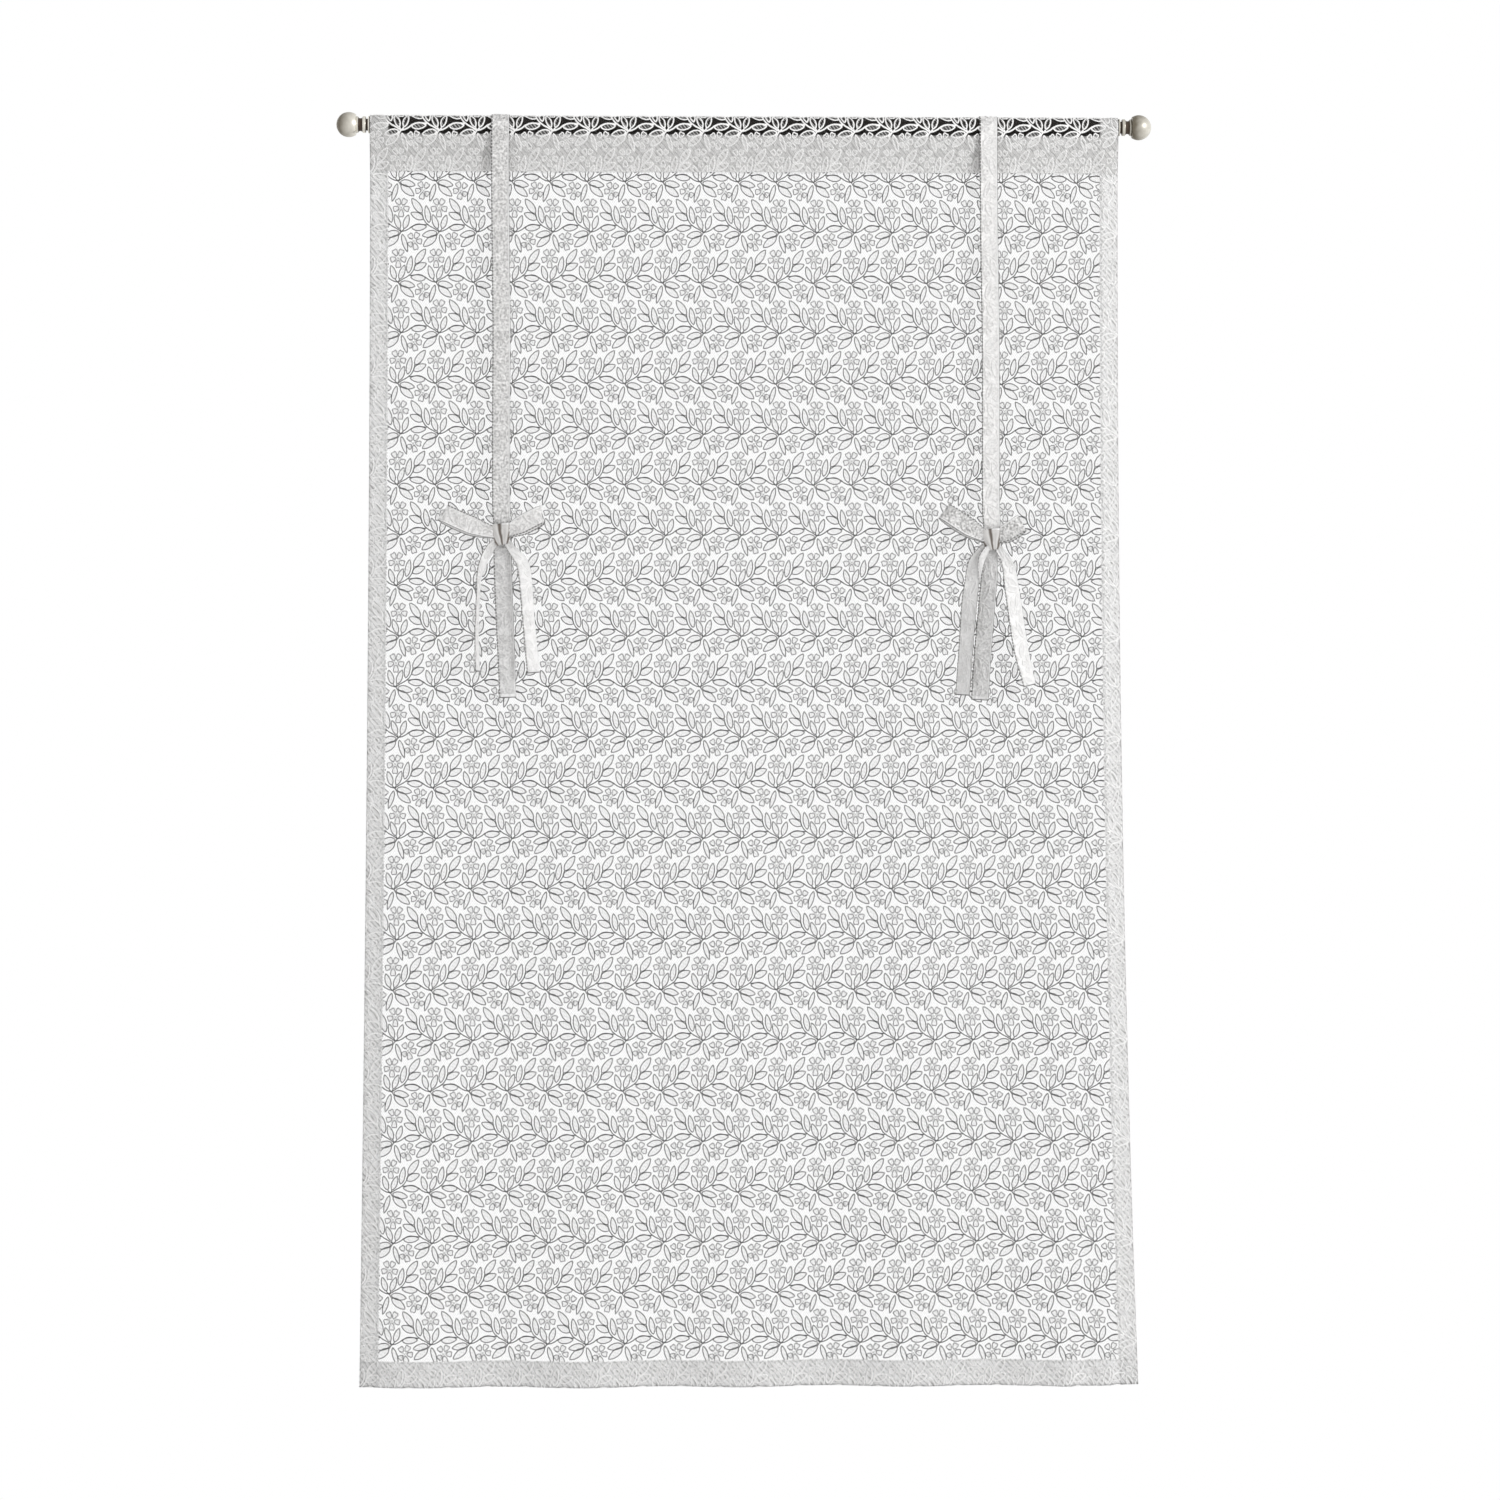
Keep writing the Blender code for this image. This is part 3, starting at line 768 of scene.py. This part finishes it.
# %% Ribbon helpers
def smooth_route(stations, parts=14):
    """Centre, direction across and width along a smooth curve through the stations."""
    table = np.array([[*c, *Vector(a).normalized(), w] for c, a, w in stations], dtype=float)
    table = np.vstack([table[:1] * 2 - table[1:2], table, table[-1:] * 2 - table[-2:-1]])
    out = []
    for k in range(1, len(table) - 2):
        a, b, c, d = table[k - 1 : k + 3]
        for step in range(parts):
            t = step / parts
            bend = (2 * a - 5 * b + 4 * c - d) * t**2 + (3 * b - a - 3 * c + d) * t**3
            out.append(0.5 * (2 * b + (c - a) * t + bend))
    return np.array(out + [table[-2]])


class Route:
    """Leads flat cloth, given across and along it, along a curve in space."""

    def __init__(self, stations, flat_width):
        table = smooth_route(stations)
        centre, across = table[:, :3], table[:, 3:6]
        ahead = np.gradient(centre, axis=0)
        ahead /= np.linalg.norm(ahead, axis=1)[:, None]
        face = np.cross(ahead, across)
        face /= np.linalg.norm(face, axis=1)[:, None]
        across = np.cross(face, ahead)
        steps = np.linalg.norm(np.diff(centre, axis=0), axis=1)
        self.run = np.concatenate([[0], np.cumsum(steps)])
        self.length = self.run[-1]
        self.table = np.hstack([centre, across, face, table[:, 6:7] / flat_width])

    def __call__(self, flat):
        here = np.stack([np.interp(flat[:, 1], self.run, column) for column in self.table.T], axis=1)
        side = -flat[:, :1] * here[:, 9:10]
        return here[:, :3] + here[:, 3:6] * side + here[:, 6:9] * flat[:, 2:3]


TIE_WIDTH = 0.0225
TIE_CLOTH = 0.0006  # thickness of the two layers
STRIP_STEP = 0.003
# half of a strip's section, rolled at its edge: share of the width, and height
EDGE = ((-0.5, 0.0002), (-0.475, 0.0007), (-0.43, 0.0006), (-0.39, 0.0001), (-0.2, 0), (0, 0))
INSIDE_EDGE = 0.39  # share of the width from the middle to the rolled edge
PATTERN_FROM = -0.4  # height on the cloth that the strips' pattern is cut below
STRIP_LIFT = 0.0005


def band_of_cloth(bm, start, length, width=TIE_WIDTH):
    """Flat strip with rolled edges, from start along for a length."""
    profile = list(EDGE) + [(-x, z) for x, z in reversed(EDGE[:-1])]
    steps = max(6, int(length / STRIP_STEP))
    made = bmesh.ops.create_grid(bm, x_segments=len(profile) - 1, y_segments=steps, size=1)
    for vert in made["verts"]:
        share, roll = profile[round((vert.co.x + 1) / 2 * (len(profile) - 1))]
        vert.co = (share * width, start + (vert.co.y + 1) / 2 * length, roll)
    return made["verts"]


def strip_pattern(shift, length):
    """Pattern for one strip, cut from somewhere in the cloth."""
    half = TIE_WIDTH * INSIDE_EDGE
    low = PATTERN_FROM - length
    bm = pattern((shift - half, low), (shift + half, PATTERN_FROM))
    bmesh.ops.translate(bm, vec=(-shift, -low, STRIP_LIFT), verts=bm.verts[:])
    return bm


# %% [markdown]
# ## Finish of the ties
#
# Two layers of lace on each other hide what is behind them, so the ties read as light grey
# bands. Close up they keep the slanting rows of the knit, a lighter sewn edge on one side and a
# line of darker dashes, set out like stitches, down the other: that line is painted shade. The
# light catches them differently above and below the knots, so each finish has two pairs of
# tones, painted light and shade, and each tie and each bow has its own lighter or darker set.


# %% Tie finishes
TIE_ROWS, TIE_CROSS_ROWS = (0.0017, 0.8), (0.0021, -1.3)  # pitch and lean of the knit's rows
EDGE_SHADE_DASH_PITCH = 0.0042
BELOW_KNOTS = -0.532
END_LINE = 0.0012  # the strip's cut end reads dark over this length
END_HEM = 0.0045  # and its hem light up to here


def tie_finish(name, above, below):
    """Darkest and lightest tone of the cloth above the knots, and below them."""
    finish = Finish(name)
    u, v, _ = finish.place("UV")
    knit = slanting(u, v, *TIE_ROWS) * 0.6 + slanting(u, v, *TIE_CROSS_ROWS) * 0.4
    # patches of darker and lighter tone from noise, with the knit's rows in them
    mottle = (finish.cloud(330.0, coordinate="UV") * 3.4 + knit * 0.5 - 1.5).clamped()
    _, _, z = finish.place()
    low = z.below(BELOW_KNOTS, 0.01)
    dark, light = (
        finish.blend(low, grey(above[i], 0.02), grey(below[i], 0.015)) for i in (0, 1)
    )
    body = finish.blend(mottle, dark, light)
    inner = u.size().below(TIE_WIDTH * 0.42, 0.0006) * v.above(END_HEM, 0.0006)
    inner = inner * u.above(TIE_WIDTH * -0.445, STEP)
    cloth = finish.blend(inner, grey(0.92, 0.01), body)
    # Painted shade: dark dashes, set out like stitches, down one edge, and a thin dark rim along the
    # other edge. The same dark tone also marks a line across the cut end.
    between_shade_dashes = (v * (pi / EDGE_SHADE_DASH_PITCH)).sine().size().below(0.35, 0.2)
    clear_of_shade_dashes = u.below(TIE_WIDTH * 0.43, STEP).most(between_shade_dashes)
    inside_rim = u.above(TIE_WIDTH * -0.474, 0.0003) * v.above(END_LINE, STEP)
    finish.set(
        Base_Color=finish.blend(clear_of_shade_dashes * inside_rim, grey(0.16, 0.04), cloth),
        Roughness=0.9,
        Normal=finish.bump(knit, RELIEF),
    )
    return finish


def tie_set(name, above, below):
    """Finishes of a tie's cloth, its raised thread and its filling."""
    out = []
    for part, lift in (("", 0), (" raised thread", 0.1), (" filling", -0.1)):
        tones = [[min(1.0, tone + lift) for tone in pair] for pair in (above, below)]
        out.append(tie_finish(name + part, *tones))
    return out


# Painted light and shade: the four sets are one lace in lighter and darker tones, for how the light
# falls on each tie and each bow.
left_tie_set = tie_set("left tie lace", (0.52, 1.0), (0.60, 0.82))
right_tie_set = tie_set("right tie lace", (0.78, 1.0), (0.62, 0.90))
left_bow_set = tie_set("left bow lace", (0.70, 1.0), (0.90, 1.0))
right_bow_set = tie_set("right bow lace", (0.42, 1.0), (0.86, 0.98))


# %% [markdown]
# ## The two ties
#
# Each tie is sewn at the back of the pocket, goes up over the rod, comes down the front, passes
# through its knot and ends below it as the middle tail. On the way it stays a hair off the
# pocket, as the solids do.

# %% Ties
TIE_OFF = 0.0129  # distance of the tie's middle from the rod's axis
TIE_FOOT = 0.006  # the ties are sewn on this far above the seam
ROUND_ROD = 10  # steps round the rod
# how the tie narrows into its knot: height over the knot's middle, width
INTO_KNOT = ((0.021, 0.0222), (0.014, 0.0202), (0, 0.020), (-0.014, 0.020))


def tie_stations(top_x, knot, tail):
    """Route of a tie: up behind the pocket, over the rod, down to its knot and on as a tail."""
    across = (1, 0, 0)
    angle = pi + TILT
    slope = Vector((0, -sin(angle), -cos(angle)))
    top = Vector((top_x, -TIE_OFF * cos(angle), TIE_OFF * sin(angle)))
    run = (top.z - SEAM - TIE_FOOT) / -slope.z
    stations = [(top + slope * run * part, across, TIE_WIDTH) for part in (1, 0.66, 0.33)]
    for k in range(ROUND_ROD + 1):
        turn = angle - (angle - 0.1) * k / ROUND_ROD
        centre = (top_x, -TIE_OFF * cos(turn), TIE_OFF * sin(turn))
        stations.append((Vector(centre), across, TIE_WIDTH))
    for part in (0.1, 0.3, 0.5, 0.7, 0.9):
        x = top_x + (knot.x - top_x) * part
        sway = 0.0006 * sin(9 * part + 30 * top_x)
        stations.append((Vector((x + sway, -TIE_OFF, knot.z * part)), across, TIE_WIDTH))
    for lift, width in INTO_KNOT:
        stations.append((knot + Vector((0, 0, lift)), across, width))
    return stations + tail_stations(knot, tail)


def tail_stations(knot, points):
    """Route of a tail, from points counted from its knot."""
    out = []
    for right, back, up, share, turn in points:
        across = (cos(turn), sin(turn), 0)
        out.append((knot + Vector((right, back, up)), across, TIE_WIDTH * share))
    return out


# each tail as points (right, back, up, share of the full width, turn of the strip in radians)
LEFT_TIE_TAIL = (
    (0.001, 0, -0.024, 1, 0), (0.002, -0.001, -0.060, 1, 0.05), (0.004, -0.002, -0.110, 1, 0.1),
    (0.006, -0.001, -0.160, 1, 0.3), (0.0075, 0, -0.205, 1, 0.4),
)
RIGHT_TIE_TAIL = (
    (-0.0006, 0, -0.024, 0.75, -0.1), (-0.003, -0.002, -0.045, 0.95, -0.35),
    (-0.0057, -0.002, -0.076, 1, -0.45), (-0.011, -0.001, -0.139, 1, -0.35),
    (-0.015, 0, -0.202, 1, -0.35),
)


def ribbon(name, strips, node, finishes):
    """Object made of strips, each (stations, where its pattern is cut)."""
    cloth, relief = bmesh.new(), bmesh.new()
    flat_length = 0.0
    for stations, shift in strips:
        route = Route(stations, TIE_WIDTH)
        flat_length += route.length
        plain = bmesh.new()
        band_of_cloth(plain, 0, route.length)
        for bm, part in ((cloth, plain), (relief, strip_pattern(shift, route.length))):
            scratch = bpy.data.meshes.new("strip")
            part.to_mesh(scratch)
            part.free()
            shape(scratch, route, route.length)
            bm.from_mesh(scratch)
            bpy.data.meshes.remove(scratch)
    bmesh.ops.solidify(cloth, geom=cloth.faces[:], thickness=TIE_CLOTH)
    bmesh.ops.recalc_face_normals(cloth, faces=cloth.faces[:])
    band = piece(name, cloth, finishes[:1])
    raised = piece(f"{name}_relief", relief, finishes[1:])
    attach(band, "root")
    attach(raised, "root")
    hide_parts(node)
    return band, raised, flat_length


LEFT_KNOT = Vector((TOP_LEFT + 0.0016, -TIE_OFF, -0.5155))
RIGHT_KNOT = Vector((TOP_RIGHT + 0.0038, -TIE_OFF, -0.5212))
left_strip = tie_stations(TOP_LEFT, LEFT_KNOT, LEFT_TIE_TAIL), 0.11
right_strip = tie_stations(TOP_RIGHT, RIGHT_KNOT, RIGHT_TIE_TAIL), 0.135
left_tie = ribbon("tie_left", [left_strip], "tie_strap_left", left_tie_set)
right_tie = ribbon("tie_right", [right_strip], "tie_strap_right", right_tie_set)

# %% [markdown]
# ## The two bows
#
# A bow is one ribbon: a wrap round the tie, a loop to each side and two tails. The loops go out
# on a curve and come back behind themselves, pinched where the wrap holds them. Each bow keeps
# the lean of the real one: on the left the loops lie wide and flat and one tail hangs edge-on,
# on the right the loops point up, the tails spread, and a short fold of ribbon shows between.

# %% Bows
# each loop as (its far end, the pull of its curve, half its depth, direction across the strip)
LEFT_LOOPS = (
    ((-0.0735, 0.001, 0.027), (-0.040, 0, 0.008), 0.0042, (0.47, 0, 0.88)),
    ((0.051, -0.003, 0.0245), (0.027, 0, 0.011), 0.0050, (-0.1, 0, 1)),
)
RIGHT_LOOPS = (
    ((-0.0600, 0.001, 0.0355), (-0.030, 0, 0.013), 0.0042, (0.64, 0, 0.77)),
    ((0.0375, -0.002, 0.0205), (0.022, 0, 0.007), 0.0048, (-0.45, 0.1, 0.87)),
)
LEFT_TAILS = (
    (
        (-0.003, 0, -0.004, 0.4, 0.1), (-0.0145, -0.001, -0.018, 0.5, 0.3),
        (-0.022, 0, -0.032, 0.7, 0.8), (-0.0277, 0, -0.048, 0.9, 1.25),
        (-0.0295, 0, -0.072, 1, 1.4), (-0.0315, 0, -0.122, 1, 1.4), (-0.0305, 0, -0.172, 1, 1.35),
    ),
    (
        (0.003, -0.0005, -0.004, 0.4, 0), (0.0135, -0.001, -0.020, 0.5, 0.05),
        (0.0245, -0.001, -0.034, 0.75, 0.4), (0.0290, -0.001, -0.052, 0.95, 0.7),
        (0.033, -0.001, -0.100, 1, 0.8), (0.037, -0.001, -0.145, 1, 0.8),
        (0.0397, -0.001, -0.174, 1, 0.8),
    ),
)
RIGHT_TAILS = (
    (
        (-0.003, 0, -0.004, 0.4, 0), (-0.0145, -0.001, -0.016, 0.5, -0.1),
        (-0.0225, 0, -0.030, 0.7, -0.3), (-0.0255, 0, -0.055, 0.9, -0.5),
        (-0.0285, 0, -0.080, 1, -0.6), (-0.0330, 0, -0.140, 1, -0.7), (-0.0370, 0, -0.196, 1, -0.7),
    ),
    (
        (0.003, -0.0005, -0.004, 0.4, 0), (0.0140, -0.001, -0.020, 0.5, 0.05),
        (0.0210, -0.001, -0.036, 0.75, 0.25), (0.0245, -0.001, -0.060, 0.95, 0.45),
        (0.0275, -0.001, -0.080, 1, 0.5), (0.0365, -0.001, -0.139, 1, 0.5),
        (0.0475, -0.001, -0.184, 1, 0.7),
    ),
    (
        (-0.004, -0.004, -0.008, 0.3, 0.5), (-0.0125, -0.005, -0.022, 0.5, 0.6),
        (-0.0155, -0.004, -0.038, 0.34, 0.7), (-0.0170, -0.002, -0.056, 0.1, 0.8),
    ),
)


BOW_OFF = 0.0042  # the bow starts this far in front of the tie
LOOP_RISE = 0.0015  # between a loop's front half and its back half


def loop_stations(knot, reach, bend, open_half, across, steps=22):
    """Route of a loop: out in front, round its far end and back behind."""
    out = []
    facing = 1 if reach[0] > 0 else -1
    for k in range(steps + 1):
        t = 0.03 + 0.94 * k / steps
        s = sin(pi * t)
        path = Vector(bend) * 2 * s * (1 - s) + Vector(reach) * s * s
        swing = sin(2 * pi * t)
        off = Vector((0, -open_half * swing, LOOP_RISE * swing))
        width = TIE_WIDTH * min(1.0, 0.5 + 1.1 * s)
        out.append((knot + path + off, Vector(across) * facing, width))
    return out


def bow(name, knot, loops, tails, node, shift, finishes):
    start = knot - Vector((0, BOW_OFF, 0))
    strips = [(loop_stations(start, *loop), shift + 0.013 * i) for i, loop in enumerate(loops)]
    strips += [(tail_stations(start, tail), shift + 0.03 + 0.013 * i) for i, tail in enumerate(tails)]
    return ribbon(name, strips, node, finishes)


left_bow = bow(
    "bow_of_left_tie", LEFT_KNOT, LEFT_LOOPS, LEFT_TAILS, "bow_left", 0.02, left_bow_set
)
right_bow = bow(
    "bow_of_right_tie", RIGHT_KNOT, RIGHT_LOOPS, RIGHT_TAILS, "bow_right", 0.16, right_bow_set
)

# %% [markdown]
# ## The knots
#
# Where the ribbon is pulled tight round the tie it crumples: pleats run together towards the
# lower edge of the wrap, and the cloth in them looks darker and a little brown. That is painted
# shade, and the whole knot is painted darker than the ties. The wrap is a short sleeve, wider
# at its top, and one rule gives both the pleats and their painted shade.

# %% Knot wraps
PLEATS = 16.0
PLEAT_DEPTH = 0.0009
PLEAT_FOOT = Vector((0.0035, 0, -0.027))  # where the pleats would meet, from the knot's middle
KNOT_HALF_WIDTH = 0.0112
KNOT_HALF_HEIGHT = 0.0136
KNOT_FRONT, KNOT_BACK = 0.0076, 0.0025
KNOT_TOP = 0.0122  # its upper edge is lighter from this height over its middle
PLEATED_FROM = -0.012  # the pleats are in front of this plane
SQUARENESS = 0.45  # 1 would be a round section
# painted shade in the creases of the pleats, darker and a little brown
PAINTED_CREASE_SHADE = (0.13, 0.11, 0.095, 1)


def knot_finish(knot):
    finish = Finish("knotted lace")
    x, y, z = finish.place()
    meet = knot + PLEAT_FOOT
    lean = (x - meet.x).math("ARCTAN2", z - meet.z)
    fine = finish.cloud(90.0)
    crease = ((lean * PLEATS + fine * 2.2).sine() * -1 - 0.15) * 1.3
    crease = (crease * y.below(PLEATED_FROM, 0.002)).clamped()
    knit = slanting(x, z, FILLING_PITCH, KNIT_LEAN) * 0.5 + fine * 0.5
    # painted shade: the knot's cloth has darker tones than the ties'
    body = finish.blend(knit, grey(0.36, 0.05), grey(0.86, 0.04))
    edge = z.above(knot.z + KNOT_TOP, 0.001)
    body = finish.blend(edge, body, grey(0.92, 0.01))
    finish.set(
        Base_Color=finish.blend(crease, body, PAINTED_CREASE_SHADE),
        Roughness=0.9,
        Normal=finish.bump(knit, RELIEF),
    )
    return finish


def squared(value):
    """Sine or cosine of an angle, pushed out so that a circle becomes a rounded box."""
    return abs(value) ** SQUARENESS * (1 if value > 0 else -1)


def knot_wrap(name, knot):
    bm = bmesh.new()
    bmesh.ops.create_grid(bm, x_segments=96, y_segments=14, size=1)
    for vert in bm.verts:
        turn, height = pi * vert.co.x, vert.co.y
        edge = max(0.0, abs(height) - 0.75) / 0.25
        wide = (KNOT_HALF_WIDTH + 0.0018 * height) * (1 - 0.08 * edge)
        x = wide * squared(sin(turn)) - 0.0012 * height
        deep = KNOT_FRONT if cos(turn) > 0 else KNOT_BACK
        y = -deep * (1 - 0.15 * edge**2) * squared(cos(turn))
        z = KNOT_HALF_HEIGHT * height + 0.0016 * x / wide
        lean = np.arctan2(x - PLEAT_FOOT.x, z - PLEAT_FOOT.z)
        y -= PLEAT_DEPTH * sin(PLEATS * lean) * max(0.0, cos(turn))
        vert.co = knot + Vector((x, y, z))
    bmesh.ops.remove_doubles(bm, verts=bm.verts[:], dist=1e-6)
    bmesh.ops.solidify(bm, geom=bm.faces[:], thickness=TIE_CLOTH)
    bmesh.ops.recalc_face_normals(bm, faces=bm.faces[:])
    obj = piece(name, bm, [knot_finish(knot)])
    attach(obj, "root")
    return obj


left_wrap = knot_wrap("knot_of_left_tie", LEFT_KNOT)
right_wrap = knot_wrap("knot_of_right_tie", RIGHT_KNOT)

# %% [markdown]
# ## Rod and finials
#
# The rod shows only as a dark line through the pocket, so it keeps its measured tube and gets a
# brushed dark steel. The finials are turned: a profile is spun once round the rod's axis. They
# are satin nickel, with brown left in the grooves where polishing doesn't reach. Light and shade
# are painted on their metal: brighter to the right, at the front and below, darker and browner
# to the left, at the back and on top.


# %% Metal finishes
def rod_finish():
    finish = Finish("dark brushed steel")
    line = finish.cloud(900.0, 1.0)
    finish.set(
        Base_Color=finish.blend(line, grey(0.004, 0.25), grey(0.022, 0.25)),
        Metallic=0.9,
        Roughness=line * 0.2 + 0.35,
        Normal=finish.bump(line, 0.0001, 0.3),
    )
    return finish


FINIAL_START = PANEL_WIDTH / 2 + 0.0006
BALL = 0.01575
BALL_MIDDLE = FINIAL_START + 0.026
BALL_START = FINIAL_START + 0.0168  # where the ball leaves the thin ring
NECK_END = FINIAL_START + 0.0158
GROOVE_RADIUS = 0.0098
NICKEL_SHADE_AND_MOTTLE, NICKEL_BRIGHT = (0.14, 0.12, 0.085, 1), (0.82, 0.79, 0.71, 1)
GROOVE_BROWN = (0.07, 0.05, 0.035, 1)


def nickel_finish():
    finish = Finish("satin nickel")
    x, y, z = finish.place()
    radius = (y * y + z * z).math("SQRT")
    neck = x.size().below(NECK_END, 0.002)
    groove = radius.below(GROOVE_RADIUS, 0.0014) * neck
    cloud = finish.cloud(120.0, 3.0)
    end = (x * 1000).math("SIGN")
    side = (x - end * BALL_MIDDLE) * (1 - neck)
    # Painted light and shade: brighter to the right, at the front and below, darker to the left, at
    # the back and on top. The right finial is darker than the left and the necks are brighter, with
    # random patches from noise.
    painted_light_and_mottle = (y * -0.3 + side * 0.75 - z * 0.1) / BALL
    painted_light_and_mottle = (painted_light_and_mottle + cloud * 0.5 - end * 0.12 + neck * 0.4 - 0.06).clamped()
    body = finish.blend(painted_light_and_mottle, NICKEL_SHADE_AND_MOTTLE, NICKEL_BRIGHT)
    finish.set(
        Base_Color=finish.blend(groove, body, GROOVE_BROWN),
        Metallic=painted_light_and_mottle * 0.6 + 0.15,
        Roughness=groove * 0.3 - painted_light_and_mottle * 0.2 + cloud * 0.1 + 0.42,
        Normal=finish.bump(finish.cloud(700.0, 2.0), 0.00005, 0.4),
    )
    return finish


dark_steel, nickel = rod_finish(), nickel_finish()


def dress(node, finish):
    """Give a measured solid its finish."""
    obj = frame["nodes"][node]
    if isinstance(obj, str):
        obj = bpy.data.objects[obj]
    obj.data.materials.clear()
    obj.data.materials.append(finish.material)


dress("curtain_rod", dark_steel)

# %% [markdown]
# The profile runs from the spigot inside the tube, over the collar, a deep groove, a rounded
# ring, a hollow neck and a thin ring, to the ball.

# %% Finials
MM = 0.001
SPIN_STEPS = 64
# the profile as (distance along the axis, radius), both in millimetres
SPIGOT = ((-21.6, 0), (-21.6, 8.5), (-20.6, 9.5), (0, 9.5))
TURNED = (
    (0, 10.4), (0.2, 10.7), (1.6, 10.7), (1.8, 10.4), (2.1, 7.4), (4.3, 7.4), (4.6, 9.9), (5.0, 10.35),
    (5.6, 10.5), (7.7, 10.5), (8.3, 10.3), (8.7, 9.8), (9.3, 8.9), (10.2, 8.25), (11.7, 8.0),
    (13.0, 8.35), (13.8, 9.1), (14.2, 10.0), (14.7, 10.4), (16.2, 10.4), (16.6, 10.1),
)


def finial_profile():
    points = [(FINIAL_START + a * MM, r * MM) for a, r in SPIGOT + TURNED]
    for degrees in (*range(140, 0, -8), 0):
        x = BALL_MIDDLE + BALL * cos(radians(degrees))
        points.append((max(x, BALL_START), BALL * sin(radians(degrees))))
    return points


def finial(name, node, side):
    bm = bmesh.new()
    line = [bm.verts.new((x * side, r, 0)) for x, r in finial_profile()]
    edges = [bm.edges.new(pair) for pair in zip(line, line[1:])]
    bmesh.ops.spin(
        bm, geom=line + edges, axis=(1, 0, 0), cent=(0, 0, 0), dvec=(0, 0, 0),
        angle=2 * pi, steps=SPIN_STEPS, use_merge=True,
    )
    bmesh.ops.remove_doubles(bm, verts=bm.verts[:], dist=1e-6)
    bmesh.ops.recalc_face_normals(bm, faces=bm.faces[:])
    for edge in bm.edges:
        edge.smooth = edge.calc_face_angle(0) < radians(38)
    obj = piece(name, bm, [nickel])
    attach(obj, "root")
    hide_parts(node)
    return obj


finial("turned_finial_left", "finial_left", -1)
finial("turned_finial_right", "finial_right", 1)

# %% [markdown]
# ## Declaring the cloth
#
# Each sheet is declared with the size it was cut to, so that its measured area can be checked
# against the real cloth. The pattern and the stitches belong to the panel's sheet.

# %% Cloth sheets
for part in (ground, sewing, *bands):
    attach(part, "root")
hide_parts("lace_panel")
for band, raised, length in (left_tie, right_tie):
    print(band.name, "is", round(length, 3), "m long")
for (band, raised, length), wrap in ((left_bow, left_wrap), (right_bow, right_wrap)):
    print(band.name, "is", round(length, 3), "m long")

# %% [markdown]
# ## Light, floor and background
#
# The light is plain and soft, at a level at which a colour renders about as it is written: an
# even sky, one broad lamp from the upper right that gives the ties their thin shadow, and a
# weaker one behind. The camera, reflections and anything see-through see a white background.


# %% Studio
SKY_LEVEL = 0.70
KEY_WATTS, BACK_WATTS = 90, 34
AIM = Vector((0, 0, -0.8))


def world():
    sky = bpy.data.worlds.new("sky")
    sky.use_nodes = True
    tree = sky.node_tree
    tree.nodes.clear()
    rays = tree.nodes.new("ShaderNodeLightPath").outputs
    seen = rays["Is Camera Ray"]
    for kind in ("Is Glossy Ray", "Is Transmission Ray"):
        either = tree.nodes.new("ShaderNodeMath")
        either.operation = "MAXIMUM"
        tree.links.new(seen, either.inputs[0])
        tree.links.new(rays[kind], either.inputs[1])
        seen = either.outputs[0]
    light, white = (tree.nodes.new("ShaderNodeBackground") for _ in range(2))
    light.inputs["Color"].default_value = (1, 1, 1, 1)
    light.inputs["Strength"].default_value = SKY_LEVEL
    white.inputs["Color"].default_value = (1, 1, 1, 1)
    mix = tree.nodes.new("ShaderNodeMixShader")
    out = tree.nodes.new("ShaderNodeOutputWorld")
    tree.links.new(seen, mix.inputs[0])
    tree.links.new(light.outputs[0], mix.inputs[1])
    tree.links.new(white.outputs[0], mix.inputs[2])
    tree.links.new(mix.outputs[0], out.inputs["Surface"])
    bpy.context.scene.world = sky


def lamp(name, place, power, size):
    data = bpy.data.lights.new(name, "AREA")
    data.energy = power
    data.size = size
    obj = bpy.data.objects.new(name, data)
    obj.location = place
    obj.rotation_euler = (AIM - obj.location).to_track_quat("-Z", "Y").to_euler()
    bpy.context.scene.collection.objects.link(obj)


def floor(height=-2.35):
    """Pale disc that keeps the curtain's shadow, and fades to white away from it."""
    finish = Finish("pale floor")
    x, y, _ = finish.place()
    far = (((x * x + y * y).math("SQRT") - 1.2) / 2.0).clamped()
    finish.set(Base_Color=grey(0.9), Roughness=0.9)
    glow = finish.node("ShaderNodeEmission", inputs={"Color": (1, 1, 1, 1), "Strength": 1.0})
    lit = Value(finish, finish.shader.outputs[0])
    mixed = finish.node("ShaderNodeMixShader", inputs={0: far, 1: lit, 2: glow})
    finish.feed(finish.output.inputs["Surface"], mixed)
    bm = bmesh.new()
    bmesh.ops.create_circle(bm, cap_ends=True, radius=14, segments=64)
    bmesh.ops.translate(bm, vec=(0, 0, height), verts=bm.verts[:])
    obj = piece("floor", bm, [finish], smooth=False)


world()
lamp("key", (3.4, -2.8, 1.0), KEY_WATTS, 1.2)
lamp("back", (-2.0, 3.6, 0.6), BACK_WATTS, 2.0)
floor()
bpy.context.scene.view_settings.view_transform = "Standard"
